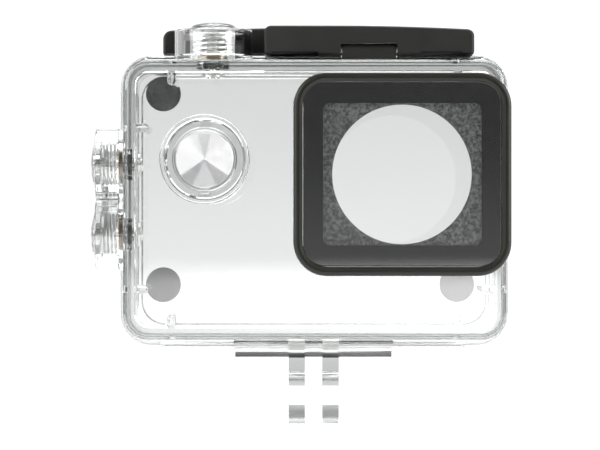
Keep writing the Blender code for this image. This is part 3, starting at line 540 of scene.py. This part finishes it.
@dataclass
class Button:
    """One sprung push button: local Z points out of its wall and 0 is the wall's inner face."""

    name: str
    foot: Vector
    outward: tuple
    guard_r: float
    pocket_r: float
    guard_z: float
    apex_z: float
    dome_r: float = 4.5
    recess: float = 0.0
    travel: float = 1.5
    stem_r: float = 1.2
    wire_r: float = 0.85
    web: float = 0.45
    washer_t: float = 0.65
    coil_r: float = 3.55
    coil_wire_r: float = 0.25
    coil_turns: int = 4
    crown: float = 1.1
    neck: float = 1.1
    slack: float = 0.05
    press: float = 0.02
    body: str = ""

    def __post_init__(self) -> None:
        """Work out the heights of the seal, the washer and the spring's seat."""
        self.body = self.body or self.name
        self.matrix = facing(self.foot, self.outward)
        self.web_top = self.recess + self.web
        self.bore_r = self.stem_r + self.slack
        self.gland_r = self.bore_r + 2 * self.wire_r + self.slack
        self.oring_z = self.web_top + self.slack + self.wire_r
        self.washer_z = self.oring_z + self.wire_r + 0.1
        self.floor_z = self.washer_z + self.washer_t + self.slack
        self.roof_z = self.apex_z - self.crown - 1.0

    def guard(self) -> Form:
        """The round wall that stands around the cap."""
        rim = 0.5
        return Form.disc(self.guard_r, 96).rise(self.guard_z - OVERLAP - rim).fillet(rim).put(
            self.matrix @ Matrix.Translation((0, 0, OVERLAP)))

    def passage(self) -> Form:
        """The hollow behind the cap: spring pocket, seal gland, stem bore and clip recess."""
        out, corner, clip_recess_r = self.guard_z + PAST, 0.25, 2.7
        profile = [(0, out), (self.pocket_r + corner, out), (self.pocket_r + corner, self.guard_z - 0.02),
                   (self.pocket_r, self.guard_z - 0.3), (self.pocket_r, self.floor_z + corner),
                   (self.pocket_r - corner, self.floor_z), (self.gland_r, self.floor_z),
                   (self.gland_r, self.web_top), (self.bore_r, self.web_top)]
        if self.recess:
            profile += [(self.bore_r, self.recess), (clip_recess_r, self.recess), (clip_recess_r, -PAST)]
        else:
            profile += [(self.bore_r, -PAST)]
        return Form.turned(profile + [(0, -PAST)], 72).put(self.matrix)

    def inner_parts(self) -> None:
        """The stem with its clip, the O-ring and the washer."""
        clip_z, clip_t, groove = self.recess - 0.35, 0.5, 0.35
        neck_r, tip = self.stem_r - groove, clip_z - clip_t - 0.45
        top = self.roof_z - self.slack + (0.8 if self.outward[1] == 0 else 0.0)
        stem = Form.turned([(0, top), (self.stem_r - 0.15, top), (self.stem_r, top - 0.15),
                            (self.stem_r, clip_z + 0.05), (neck_r, clip_z + 0.05),
                            (neck_r, clip_z - clip_t - 0.05), (self.stem_r, clip_z - clip_t - 0.05),
                            (self.stem_r, tip + 0.2), (self.stem_r - 0.2, tip), (0, tip)], 40)
        clip = Form.turned([(neck_r + 0.05, clip_z), (2.1, clip_z), (2.2, clip_z - 0.1),
                            (2.2, clip_z - clip_t), (neck_r + 0.05, clip_z - clip_t)], 40)
        ring_r = self.bore_r + self.wire_r
        turns = [2 * pi * i / 24 for i in range(24)]
        oring = Form.turned([(min(ring_r + 1.12 * self.wire_r * sin(t), self.gland_r + self.press),
                              self.oring_z + self.wire_r * cos(t)) for t in turns], 64)
        top = self.washer_z + self.washer_t
        rim_r, hole_r = self.gland_r - 0.05, self.stem_r + 0.1
        washer = Form.turned([(hole_r, top), (self.gland_r - 0.15, top), (rim_r, top - 0.1),
                              (rim_r, self.washer_z), (hole_r, self.washer_z)], 48)
        for form, part, body, slot, look in (
                (stem, "stem", self.body, "steel", Look.STEEL),
                (clip, "clip", self.body, "steel", Look.STEEL),
                (oring, "oring", "case", "rubber", Look.RUBBER),
                (washer, "washer", "case", "brass", Look.BRASS)):
            stand_in(form.put(self.matrix), f"{self.name}_{part}", body, slot, look)

    def coil(self) -> None:
        """The spring, coiled from its seat up towards the cap's roof."""
        low = self.floor_z + self.coil_wire_r + self.slack
        rise = self.roof_z - self.coil_wire_r - self.slack - low
        steps = self.coil_turns * 32
        form = Form()
        bmesh.ops.create_circle(form.bm, cap_ends=True, radius=self.coil_wire_r, segments=10)
        bmesh.ops.rotate(form.bm, matrix=Matrix.Rotation(pi / 2, 3, "X"), verts=form.bm.verts)
        bmesh.ops.translate(form.bm, vec=(self.coil_r, 0, low), verts=form.bm.verts)
        bmesh.ops.spin(form.bm, geom=form.bm.faces[:], cent=(0, 0, 0), axis=(0, 0, 1),
                       dvec=(0, 0, rise / steps), angle=2 * pi * self.coil_turns, steps=steps,
                       use_duplicate=False)
        piece = stand_in(form.outward().put(self.matrix), f"{self.name}_spring", "case", "steel", Look.STEEL)
        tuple(self.outward)
        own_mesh(piece)

    def dome_cap(self) -> None:
        """The domed clear cap with its flange, skirt and stem socket."""
        flange_r, edge_z = self.pocket_r - 0.25, self.apex_z - self.crown
        flange_top = edge_z - self.neck
        flange_low, roof = flange_top - 1.3, self.roof_z
        skirt_r, socket_r = self.coil_r + self.coil_wire_r + 0.35, self.stem_r + self.slack
        shoulder = 0.35
        lift = shoulder * 0.4
        dome = [((self.dome_r - shoulder) * sin(t), edge_z + lift + (self.crown - lift) * cos(t))
                for t in (pi / 2 * i / 12 for i in range(12))]
        dome += [(self.dome_r - shoulder * (1 - sin(t)), edge_z - shoulder * (1 - cos(t)) + 0.12 * cos(t))
                 for t in (pi / 2 * i / 4 for i in range(5))]
        cap = Form.turned(dome + [
            (self.dome_r, flange_top + 0.2), (self.dome_r + 0.2, flange_top), (flange_r - 0.15, flange_top),
            (flange_r, flange_top - 0.15), (flange_r, flange_low), (skirt_r, flange_low), (skirt_r, roof),
            (socket_r + 0.8, roof), (socket_r + 0.8, roof - 0.6), (socket_r, roof - 0.6),
            (socket_r, roof + 0.8), (0, roof + 0.8)], 80)
        stand_in(cap.put(self.matrix), f"{self.name}_cap", self.body, "clear_cap", Look.CAP)

    def build(self) -> None:
        """Make all the button's pieces."""
        self.dome_cap()
        self.inner_parts()
        self.coil()


@dataclass
class DiscButton(Button):
    """The flat front button: a clear keyed ring around a turned metal disc."""

    disc_r: float = 5.15
    disc_t: float = 0.6
    neck_r: float = 5.8
    key_w: float = 2.0

    def __post_init__(self) -> None:
        """Seat the disc in the cap's face."""
        super().__post_init__()
        self.disc_z = self.apex_z - self.disc_t - 0.1
        self.roof_z = self.disc_z - 0.6

    def dome_cap(self) -> None:
        """The keyed clear cap and the metal disc."""
        flange_r, top = self.pocket_r - 0.25, self.apex_z
        flange_top, flange_low = top - 1.8, top - 2.5
        roof, socket_r = self.roof_z, self.stem_r + self.slack
        skirt_r, rim_r = self.coil_r + self.coil_wire_r + 0.35, self.disc_r + 0.1
        cap = Form.turned([
            (0, self.disc_z), (rim_r, self.disc_z), (rim_r, top - 0.12), (rim_r + 0.12, top),
            (self.neck_r - 0.2, top), (self.neck_r, top - 0.2), (self.neck_r, flange_top),
            (flange_r, flange_top), (flange_r, flange_low), (skirt_r, flange_low), (skirt_r, roof),
            (socket_r + 0.8, roof),
            (socket_r + 0.8, roof - 0.6), (socket_r, roof - 0.6), (socket_r, roof + self.slack),
            (0, roof + self.slack)], 80)
        piece = cap.put(self.matrix).mesh("shutter_cap_fine")
        keys = [Form.box((-self.key_w / 2, self.neck_r - OVERLAP, flange_low + 0.1),
                         (self.key_w / 2, flange_r - 0.05, top - 0.1), 0.15, 2).put(
                    self.matrix @ Matrix.Rotation(turn, 4, "Z")) for turn in (0.0, pi)]
        carve(piece, "UNION", keys)
        settle(smooth(piece), self.body, "clear_cap", Look.CAP, "shutter_cap")
        low, dish, edge = self.disc_z + self.slack, 0.05, 0.12
        high = low + self.disc_t
        face = [(self.disc_r * share, high - dish * (1 - share)) for share in (0, 0.25, 0.5, 0.75, 0.95)]
        disc = Form.turned(face + [(self.disc_r - edge, high), (self.disc_r, high - edge),
                                   (self.disc_r, low), (0, low)], 96)
        spun = SpunMetal("spun_disc_metal", tuple(middle("shutter_disc")))
        stand_in(disc.put(self.matrix), "shutter_disc", self.body, "disc_metal", spun)


# ------------ case and door

@dataclass
class Shell:
    """Sizes that the front case and the back door share."""

    width: float = 69.2
    height: float = 50.7
    corner_r: float = 4.6
    wall: float = 2.0
    roof: float = 2.1
    depth: float = 22.5
    front_wall: float = 2.2
    lip_x: float = 1.35
    lip_z: float = 1.55
    knuckle_r: float = 1.8
    inner_r: float = 2.6

    def __post_init__(self) -> None:
        """Find the shell's place from the door and the hinge pin."""
        low, high = box_mm("back_door")
        self.x = (low.x + high.x) / 2
        self.top = high.z
        self.z = high.z - self.flange_height / 2
        self.back = low.y - OVERLAP
        self.front = self.back - self.depth
        self.door_y = low.y
        self.hinge = middle("hinge_pin")

    @property
    def flange_width(self) -> float:
        """Width over the rear flange."""
        return self.width + 2 * self.lip_x

    @property
    def flange_height(self) -> float:
        """Height over the rear flange."""
        return self.height + 2 * self.lip_z

    def plate(self, width: float, height: float, radius: float, back: float, front: float,
              fillet: float = 0.0, centre: Optional[tuple] = None) -> Form:
        """A rounded plate across Y whose front edge may be rounded over."""
        x, z = centre or (self.x, self.z)
        form = Form.rectangle(width, height, radius).rise(back - front - fillet)
        if fillet:
            form.fillet(fillet)
        return form.put(front_of(x, back, z))

    def rod(self, x0: float, x1: float, y: float, z: float, radius: float, edge: float = 0.0) -> Form:
        """A round bar along X, with its far end's edge rounded."""
        form = Form.disc(radius, 40).rise(x1 - x0 - edge)
        if edge:
            form.fillet(edge, 2)
        return form.put(facing((x0, y, z), (1, 0, 0)))


@dataclass
class FrontCase(Shell):
    """The clear front shell: walls, flange, lens port, button guards, ribs, prongs and hinge."""

    port_w: float = 38.9
    port_h: float = 36.4
    port_r: float = 6.1
    port_front: float = -18.6
    seat_depth: float = 1.6
    ledge: float = 0.9
    rib_t: float = 1.6
    rib_h: float = 2.6
    rib_reach: float = 16.3
    rib_edge: float = 0.7
    rib_in: float = 6.8
    rib_down: float = 10.3
    rib_up: float = 7.0
    arm_half: float = 14.5
    arm_reach: float = 2.9
    prong_t: float = 2.95
    prong_gap: float = 3.2
    prong_r: float = 7.5
    lug_w: float = 9.8
    lug_r: float = 1.0

    def build(self, buttons: Sequence[Button]) -> None:
        """Shape the shell and settle it."""
        walls = self.plate(self.width, self.height, self.corner_r, self.back - OVERLAP, self.front, 1.2)
        piece = walls.mesh("clear_case")
        port = middle("lens_bezel")
        centre = (port.x, port.z)
        carve(piece, "UNION", [
            self.flange(),
            self.plate(self.port_w, self.port_h, self.port_r, self.front + self.front_wall - OVERLAP,
                       self.port_front, 0.25, centre),
            *(button.guard() for button in buttons), *self.hinge_arm(), *self.prongs()])
        carve(piece, "DIFFERENCE", [self.cavity(), *self.port_way(centre), *(b.passage() for b in buttons)])
        carve(piece, "UNION", self.ribs())
        prongs, arm = 10, self.arm_half + PAST
        carve(piece, "DIFFERENCE", [
            self.rod(-prongs, prongs, 0, 0, PIVOT_R),
            self.rod(-arm, arm, self.hinge.y, self.hinge.z, HINGE_HOLE_R)])
        settle(smooth(piece, 0.14), "case", "clear_plastic", Look.CLEAR, "front_case")
        self.lug()

    def flange(self) -> Form:
        """The rim that the door closes on, rounded front and back."""
        edge, depth = 0.3, 3.2
        form = Form.rectangle(self.flange_width - 2 * edge, self.flange_height - 2 * edge, 5.65)
        form.rise(0.01)
        for x, z in ((-0.18, 0.07), (-0.12, 0.23)):
            form.step(x, z)
        return form.rise(depth - 0.62).fillet(edge, 3).put(front_of(self.x, self.back, self.z))

    def cavity(self) -> Form:
        """The space inside, its front edge rounded."""
        return self.plate(self.width - 2 * self.wall, self.height - 2 * self.roof, self.inner_r,
                          self.back + PAST, self.front + self.front_wall, 0.7)

    def port_way(self, centre: tuple) -> Iterable[Form]:
        """The mask's seat and the way for the lens."""
        low, high = box_mm("lens_mask")
        width, height, start = high.x - low.x + 0.3, high.z - low.z + 0.3, self.port_front - PAST
        yield self.plate(width, height, MASK_R, self.port_front + self.seat_depth, start, 0, centre)
        yield self.plate(width - 2 * self.ledge, height - 2 * self.ledge, MASK_R,
                         self.front + self.front_wall + PAST, start, 0, centre)

    def ribs(self) -> Iterable[Form]:
        """Two ribs on the roof, two on the floor and two on each side wall."""
        y0, y1 = self.front + self.front_wall - OVERLAP, self.front + self.front_wall + self.rib_reach
        left, right = self.x - self.width / 2 + self.wall, self.x + self.width / 2 - self.wall
        low, high = self.z - self.height / 2 + self.roof, self.z + self.height / 2 - self.roof
        half, edge, rib = self.rib_t / 2, self.rib_edge, self.rib_h
        for x in (left + self.rib_in, right - self.rib_in):
            yield Form.box((x - half, y0, high - rib), (x + half, y1, high + OVERLAP), edge, 4)
            yield Form.box((x - half, y0, low - OVERLAP), (x + half, y1, low + rib), edge, 4)
        for z in (high - self.rib_down, low + self.rib_up):
            yield Form.box((left - OVERLAP, y0, z - half), (left + rib, y1, z + half), edge, 4)
            yield Form.box((right - rib, y0, z - half), (right + OVERLAP, y1, z + half), edge, 4)

    def prongs(self) -> Iterable[Form]:
        """Two mounting prongs, round at the bottom, their edges softened."""
        top = self.z - self.height / 2 + OVERLAP
        for side in (-1, 1):
            centre = side * (self.prong_gap + self.prong_t) / 2
            form = Form.box((centre - self.prong_t / 2, -self.prong_r, -self.prong_r),
                            (centre + self.prong_t / 2, self.prong_r, top))
            low = [edge for edge in form.bm.edges
                   if all(v.co.z < 0 for v in edge.verts) and span(edge).x > 1]
            yield form.round_edges(low, self.prong_r * 0.999, 20)

    def hinge_arm(self) -> Iterable[Form]:
        """The middle knuckle and the arm that carries it."""
        y, z = self.hinge.y, self.hinge.z
        start, half = self.back - self.arm_reach, self.arm_half
        yield self.rod(-half, half, y, z, self.knuckle_r)
        yield Form.box((-half, start, z - self.knuckle_r), (half, y, z))
        yield Form.box((-half, start, z - OVERLAP),
                       (half, self.back - 0.05, self.z - self.flange_height / 2 + OVERLAP))

    def lug(self) -> None:
        """The lug that the latch lever turns on, made of the black latch plastic as painted shade: a clear
        lug looks dark where the black lever shows through it.
        """
        pin, half = middle("latch_pin"), self.lug_w / 2
        lug = Form.box((pin.x - half, pin.y - self.lug_r, self.z + self.height / 2 + 0.02),
                       (pin.x + half, pin.y + self.lug_r, pin.z)).mesh("latch_lug_painted_dark")
        carve(lug, "UNION", [self.rod(pin.x - half, pin.x + half, pin.y, pin.z, self.lug_r)])
        half += PAST
        carve(lug, "DIFFERENCE", [self.rod(pin.x - half, pin.x + half, pin.y, pin.z, LATCH_HOLE_R)])
        # painted shade: the lug takes the black latch finish instead of the case's clear plastic
        settle(smooth(lug, 0.1), "case", "latch_plastic", Look.LATCH)


@dataclass
class BackDoor(Shell):
    """The clear door with its rim, panel, pocket, gasket groove and knuckles, and its soft parts."""

    rim: float = 3.0
    panel_rise: float = 1.6
    pocket_depth: float = 2.6
    groove: float = 0.75
    groove_w: float = 1.3
    knuckle_x: tuple = (14.85, 28.4)
    panel_inset: float = 3.6
    panel_edge: float = 0.6

    def pocket_size(self, out: float = 0.0) -> tuple:
        """Width, height and corner radius of the pocket, grown outwards."""
        return (self.width - 2 * self.wall + 0.6 + 2 * out, self.height - 2 * self.roof + 0.9 + 2 * out,
                self.inner_r + out)

    def build(self) -> None:
        """Shape the door, the gasket and the pads."""
        back = self.door_y + self.rim
        sheet = self.plate(self.flange_width, self.flange_height, 5.95, back, self.door_y, 0.25)
        piece = sheet.mesh("clear_door")
        y, z = self.hinge.y, self.hinge.z
        start, end = self.knuckle_x
        inset = 2 * self.panel_inset
        panel = Form.rectangle(self.flange_width - inset, self.flange_height - inset, 4.45).rise(
            self.panel_rise + OVERLAP - self.panel_edge).fillet(self.panel_edge)
        panel.put(tilted((self.x, back - OVERLAP, self.z), -pi / 2))
        carve(piece, "UNION", [panel, self.rod(-end, -start, y, z, self.knuckle_r),
                               self.rod(start, end, y, z, self.knuckle_r)])
        relief = self.knuckle_r + OVERLAP
        carve(piece, "DIFFERENCE", [
            self.plate(*self.pocket_size(), self.door_y + self.pocket_depth, self.door_y - PAST),
            self.ring(self.groove, self.groove_w, self.door_y + 1.0, self.door_y - PAST),
            self.rod(-start, start, y, z, relief),
            Form.box((-start, self.door_y - PAST, z - 3 * self.knuckle_r), (start, y, z + 0.6)),
            self.rod(-end - PAST, end + PAST, y, z, HINGE_HOLE_R), self.lip_ramp(back)])
        settle(smooth(piece, 0.14), "door", "clear_plastic", Look.CLEAR, "back_door")
        gasket = self.ring(self.groove + 0.1, self.groove_w - 0.2, self.door_y + 0.9, self.back + 0.05)
        stand_in(gasket, "door_gasket", "door", "silicone", Look.SILICONE)
        for corner in ("top_left", "top_right", "bottom_left", "bottom_right"):
            self.pad(f"pad_{corner}")

    def ring(self, out: float, width: float, back: float, front: float) -> Form:
        """A frame that follows the pocket's edge, grown outwards."""
        wide, high, radius = self.pocket_size(out + width)
        form = Form.rectangle(wide, high, radius).rise(back - front).step(width)
        form.rise(front - back + 0.001)
        return form.open_middle().put(front_of(self.x, back, self.z))

    def lip_ramp(self, back: float) -> Form:
        """The slanted cut along the top edge that the latch hook rides over."""
        form = Form.box((-40, -1.14, 0), (42, 12, 6))
        return form.put(tilted((0, back - LIP_CHAMFER, self.top), -LIP_SLOPE))

    def pad(self, node: str) -> None:
        """One round foam pad, slightly domed at its edge."""
        low, high = box_mm(node)
        spot, radius, edge = middle(node), (high.x - low.x) / 2, 0.3
        form = Form.disc(radius, 64).rise(high.y - low.y - edge).fillet(edge, 3)
        piece = stand_in(form.put(front_of(spot.x, high.y, spot.z)), node, "door", "foam", Look.FOAM)


# ------------ latch, pins and lens

@dataclass
class Latch:
    """The black lever over the roof: a crowned bar, a tail behind the top button, and a hook."""

    bar_w: float = 38.0
    wall: float = 1.8
    top_wall: float = 2.0
    front_wall: float = 2.6
    edge: float = 0.55
    crown_x: float = 3.0
    crown_drop: float = 0.7
    chamfer: float = 0.75
    tail_lift: float = 0.5
    tail_slope: float = 0.45

    def build(self) -> None:
        """Shape the lever and its pin."""
        low, high = box_mm("latch_lever")
        pin, shell = middle("latch_pin"), Shell()
        roof = shell.z + shell.height / 2
        bar_x0, hook_y = high.x - self.bar_w, high.y - 2.2
        bottom, cut_low = roof + 0.4, roof - 0.1
        tail_y0 = hook_y - 6.2
        piece = self.block((bar_x0, low.y, bottom), (high.x, high.y, high.z), 1.3).mesh("latch_bar_and_tail")
        tail = self.block((low.x, tail_y0, bottom), (bar_x0 + 4, high.y - 0.01, high.z + self.tail_lift), 1.6)
        for vert in tail.bm.verts:
            if vert.co.z > bottom + 2:
                vert.co.z -= self.tail_slope * max(bar_x0 - vert.co.x, 0) / (bar_x0 - low.x)
        carve(piece, "UNION", [tail])
        flange_y = shell.back - 4.2
        notch = 5.1
        tip = shell.top - 1.05
        cuts = [
            Form.box((bar_x0 + self.wall, low.y + self.front_wall, cut_low),
                     (high.x - self.wall, hook_y, high.z - self.top_wall), 0.3),
            Form.box((low.x + self.wall, tail_y0 + self.wall, cut_low),
                     (bar_x0 + self.wall + 0.3, hook_y, high.z - self.top_wall - 0.2), 0.3),
            Form.box((low.x - 5, flange_y, cut_low), (high.x + 5, hook_y + 0.01, shell.top + 0.3)),
            Form.box((pin.x - notch, low.y - PAST, cut_low),
                     (pin.x + notch, low.y + self.front_wall + PAST, pin.z + 1.25)),
            self.hook_ramp(shell), self.nose(bar_x0, high.x, low.y, bottom),
            Form.box((low.x - 5, hook_y - 1, cut_low - 2), (high.x + 5, high.y + PAST, tip)),
            self.recess(bar_x0 + 1.4, pin.x - 9.2, low.y, bottom),
            self.recess(pin.x + 9.2, high.x - 2.1, low.y, bottom),
            shell.rod(pin.x - 9.3, high.x + PAST, pin.y, pin.z, LATCH_HOLE_R)]
        carve(piece, "DIFFERENCE", cuts)
        settle(smooth(piece, 0.16), "latch", "latch_plastic", Look.LATCH, "latch_lever")
        for node, radius, edge in (("latch_pin", LATCH_PIN_R, 0.1), ("hinge_pin", HINGE_PIN_R, 0.2)):
            (start, end), spot = box_mm(node), middle(node)
            rod = shell.rod(start.x, end.x, spot.y, spot.z, radius, edge)
            stand_in(rod, node, "case", "steel", Look.DRAWN)

    def block(self, low: Sequence[float], high: Sequence[float], corner: float) -> Form:
        """A long block with rounded ends and edges, its top crowned along X."""
        form = Form.box(low, high)
        form.round_edges([e for e in form.bm.edges if span(e).y > 1], corner, 6)
        rims = [e for e in form.bm.edges
                if span(e).y < 1e-4 and max(v.co.z for v in e.verts) > low[2] + 0.1]
        form.round_edges(rims, self.edge, 4)
        for x in range(int(low[0]) + 3, int(high[0]) - 2, 3):
            bmesh.ops.bisect_plane(form.bm, geom=form.bm.verts[:] + form.bm.edges[:] + form.bm.faces[:],
                                   plane_co=(x, 0, 0), plane_no=(1, 0, 0))
        for vert in form.bm.verts:
            share = (vert.co.z - low[2]) / (high[2] - low[2])
            vert.co.z -= share * self.crown_drop * (max(vert.co.x - self.crown_x, 0) / 26) ** 2
        return form

    @staticmethod
    def recess(x0: float, x1: float, front: float, bottom: float) -> Form:
        """A shallow step in the lower front edge."""
        return Form.box((x0, front - PAST, bottom - PAST), (x1, front + 0.6, bottom + 1.0))

    def nose(self, x0: float, x1: float, front: float, bottom: float) -> Form:
        """The chamfer of the lower front edge, which swings down close to the roof."""
        depth, reach = self.chamfer / 2 ** 0.5, 2 * self.chamfer
        form = Form.box((x0 - PAST, -reach, -reach), (x1 + PAST, depth, reach))
        return form.put(tilted((0, front, bottom), pi / 4))

    @staticmethod
    def hook_ramp(shell: Shell) -> Form:
        """The space below the hook, parallel to the door lip's ramp and 0.5 mm off it."""
        gap, door_back = 0.5, shell.door_y + BackDoor.rim
        form = Form.box((-38, -1.2, -6), (40, 12, 0))
        start = (0, door_back - LIP_CHAMFER + gap * sin(LIP_SLOPE), shell.top + gap * cos(LIP_SLOPE))
        return form.put(tilted(start, -LIP_SLOPE))


@dataclass
class LensPort:
    """Bezel, window with its printed border, mask and seal."""

    band: float = 1.55
    border_x: float = 3.55
    border_z: float = 3.75
    border_r: float = 1.2
    hole_r: float = 12.45

    def build(self) -> None:
        """Make the port's pieces."""
        self.bezel()
        self.window()
        self.mask()
        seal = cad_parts["lens_seal"]
        seal.data.materials.clear()
        seal.data.materials.append(Look.SILICONE.value.material())

    def bezel(self) -> None:
        """The black frame: a rounded rim, a fine groove, and a lip down to the window."""
        low, high = box_mm("lens_bezel")
        deep, edge = high.y - low.y, 0.6
        form = Form.rectangle(high.x - low.x, high.z - low.z, 6.0, 14).rise(deep - edge).fillet(edge, 5)
        form.step(0.12).step(0.08, -0.18).step(0.12).step(0.08, 0.1).step(0.25)
        form.step(0.1, -0.06).step(self.band - 1.25 - 0.02, -0.02)
        form.rise(-(deep - 0.16) + 0.001)
        spot = middle("lens_bezel")
        ring = form.open_middle().put(front_of(spot.x, high.y, spot.z))
        stand_in(ring, "lens_bezel", "case", "bezel_plastic", Look.BEZEL)

    def window(self) -> None:
        """The flat glass and the border printed on its back."""
        low, high = box_mm("lens_window")
        spot = middle("lens_window")
        width, height = high.x - low.x, high.z - low.z
        ink, film = 0.02, 0.12
        form = Form.rectangle(width, height, 3.8, 12).rise(high.y - film - low.y - 0.2).fillet(0.2, 3)
        glass = form.put(front_of(spot.x, high.y - film, spot.z))
        stand_in(glass, "lens_window", "case", "window_glass", Look.GLASS)
        face_y = high.y - 2 * ink
        form = Form.rectangle(width - 0.3, height - 0.3, 3.65, 12).rise(ink)
        ring = form.put(front_of(spot.x, face_y, spot.z)).mesh("window_border")
        opening = Form.rectangle(width - 2 * self.border_x, height - 2 * self.border_z, self.border_r, 10)
        carve(ring, "DIFFERENCE", [opening.rise(1.0).put(front_of(spot.x, face_y + PAST, spot.z))])
        settle(smooth(ring), "case", "window_glass", Look.PRINT)

    def mask(self) -> None:
        """The grained mask with its round opening."""
        low, high = box_mm("lens_mask")
        spot = middle("lens_mask")
        form = Form.rectangle(high.x - low.x, high.z - low.z, MASK_R).rise(high.y - low.y)
        piece = form.put(front_of(spot.x, high.y, spot.z)).mesh("lens_mask_fine")
        rim = 0.25
        profile = [(0, 2), (self.hole_r + rim, 2), (self.hole_r + rim, 0), (self.hole_r, -rim),
                   (self.hole_r, -3), (0, -3)]
        carve(piece, "DIFFERENCE", [Form.turned(profile, 128).put(front_of(spot.x, low.y, spot.z))])
        settle(smooth(piece), "case", "mask_plastic", Look.MASK, "lens_mask")


# ------------ studio

@dataclass
class Studio:
    """Pale floor, soft light and the camera."""

    eye: tuple = (-2.49, -600.0, 29.17)
    lens: float = 195.8
    floor_z: float = -62.0
    floor_half: float = 650.0
    lamps: tuple = (("left_softbox", (-620, -420, 330), 520, 5.5),
                    ("right_softbox", (640, -380, 260), 520, 6.5),
                    ("top_softbox", (60, 120, 620), 620, 5.5))
    backdrop: float = 1.15
    scattered: float = 0.42

    def build(self) -> None:
        """Set up the whole studio."""
        self.camera()
        self.floor()
        self.lights()
        self.surround()
        view = bpy.context.scene.view_settings
        view.view_transform, view.look = "Standard", "None"
        cycles = bpy.context.scene.cycles
        cycles.max_bounces, cycles.transmission_bounces, cycles.glossy_bounces = 32, 28, 12

    def camera(self) -> None:
        """A long lens straight in front."""
        data = bpy.data.cameras.new("camera")
        data.lens, data.sensor_width, data.clip_start = self.lens, 36.0, 0.01
        eye = bpy.data.objects.new("camera", data)
        eye.location = Vector(self.eye) * MM
        eye.rotation_euler = (pi / 2, 0, 0)
        bpy.context.scene.collection.objects.link(eye)
        bpy.context.scene.camera = eye

    def floor(self) -> None:
        """A pale floor well below the housing, which hangs on its mount."""
        form = Form()
        bmesh.ops.create_grid(form.bm, x_segments=1, y_segments=1, size=self.floor_half)
        plane = form.put(Matrix.Translation((0, 0, self.floor_z))).mesh("floor")
        paint = bpy.data.materials.new("floor_paint")
        paint.use_nodes = True
        inputs = paint.node_tree.nodes["Principled BSDF"].inputs
        inputs["Base Color"].default_value = (0.93, 0.93, 0.93, 1)
        inputs["Roughness"].default_value = 0.9
        inputs["Emission Strength"].default_value = 1.0
        sheen = Shader(paint.node_tree)
        seen = sheen.node("ShaderNodeLightPath", output="Is Camera Ray")
        sheen.feed(inputs["Emission Color"], 0.2 + seen * 0.7)
        plane.data.materials.append(paint)

    def lights(self) -> None:
        """Soft boxes aimed at the housing."""
        aim = Vector((0, 0, 30))
        for name, spot, size, power in self.lamps:
            data = bpy.data.lights.new(name, "AREA")
            data.shape, data.size, data.energy = "SQUARE", size * MM, power
            lamp = bpy.data.objects.new(name, data)
            lamp.location = Vector(spot) * MM
            lamp.rotation_euler = (aim - Vector(spot)).to_track_quat("-Z", "Y").to_euler()
            lamp.visible_camera = False
            bpy.context.scene.collection.objects.link(lamp)

    def surround(self) -> None:
        """A white room: pale through clear walls, dim in reflections but for wings and a low patch."""
        world = bpy.data.worlds.new("studio")
        bpy.context.scene.world = world
        world.use_nodes = True
        room = Shader(world.node_tree)
        way = room.node("ShaderNodeTexCoord", output="Generated")
        x, y, z = (room.node("ShaderNodeSeparateXYZ", None, {0: way}, output=i) for i in range(3))
        forward, down = 0 - y, 0 - z
        # Seen through clear walls: brightest straight ahead, less just above and well below the middle.
        lobe = 0.58 - z.clamp(-0.02, 0.07) * 0.14 - down.clamp(0.034, 0.044) * 0.16
        see_through = 0.36 + (y * y).clamp(0.7, 0.97) * lobe
        see_through = see_through + (z * z).clamp(0.55, 0.95) * 0.4 + (x * x).clamp(0.7, 0.97) * 0.3
        # Mirrored: a low veil in front, wings at the sides, and light from behind and above.
        veil = down.clamp(-0.03, 0.015) * 0.7 + down.clamp(0.009, 0.02) * (8 + x * 50)
        veil = veil * forward.clamp(0.985, 0.995) * (1 - down.clamp(0.032, 0.045))
        wings = (x * x).clamp(0.006, 0.12) * (1 - (z * z).clamp(0.02, 0.3)) * 1.1
        mirrored = 0.05 + veil + wings + y.clamp(0.1, 0.9) * 0.8 + z.clamp(0.35, 0.9) * 0.25
        clear, shiny, seen = (room.node("ShaderNodeLightPath", output=f"Is {kind} Ray")
                              for kind in ("Transmission", "Glossy", "Camera"))
        bounces = room.node("ShaderNodeLightPath", output="Ray Depth")
        # Long ways through the plastic darken; rays thrown back to the front see what mirrors see.
        see_through = see_through * (1 - bounces.clamp(5, 13) * 0.62)
        returned = forward.clamp(0.4, 0.9) * (1 - bounces.clamp(3.2, 3.8))
        see_through = see_through * (1 - returned) + mirrored * returned
        unseen = see_through * clear + (1 - clear) * (mirrored * shiny + (1 - shiny) * self.scattered)
        background = world.node_tree.nodes["Background"]
        room.feed(background.inputs["Strength"], unseen * (1 - seen) + seen * self.backdrop)
        background.inputs["Color"].default_value = (1, 1, 1, 1)


def make_buttons() -> list:
    """Place the four buttons from the boxes of their CAD caps and the shell's inner walls."""
    shell = Shell()
    ceiling = shell.z + shell.height / 2 - shell.roof
    left = shell.x - shell.width / 2 + shell.wall
    wall = shell.front + shell.front_wall
    top, disc = middle("top_button_cap"), middle("shutter_disc")
    made = [Button("top_button", Vector((top.x, top.y, ceiling)), (0, 0, 1), 7.1, 5.7, 7.9, 9.2)]
    for level in ("upper", "lower"):
        spot = middle(f"side_button_{level}_cap")
        made.append(Button(f"side_button_{level}", Vector((left, spot.y, spot.z)), (-1, 0, 0),
                           6.6, 5.3, 7.4, 8.4, 4.2))
    made.append(DiscButton("shutter", Vector((disc.x, wall, disc.z)), (0, -1, 0), 8.05, 7.1, 8.4, 8.0,
                           recess=1.1, travel=1.2, body="shutter_button"))
    return made


def main() -> None:
    """Build the studio and every sub-assembly."""
    logging.basicConfig(level=logging.INFO, format="%(message)s")
    Studio().build()
    buttons = make_buttons()
    FrontCase().build(buttons)
    BackDoor().build()
    Latch().build()
    LensPort().build()
    for button in buttons:
        button.build()


if __name__ == "__main__":
    main()
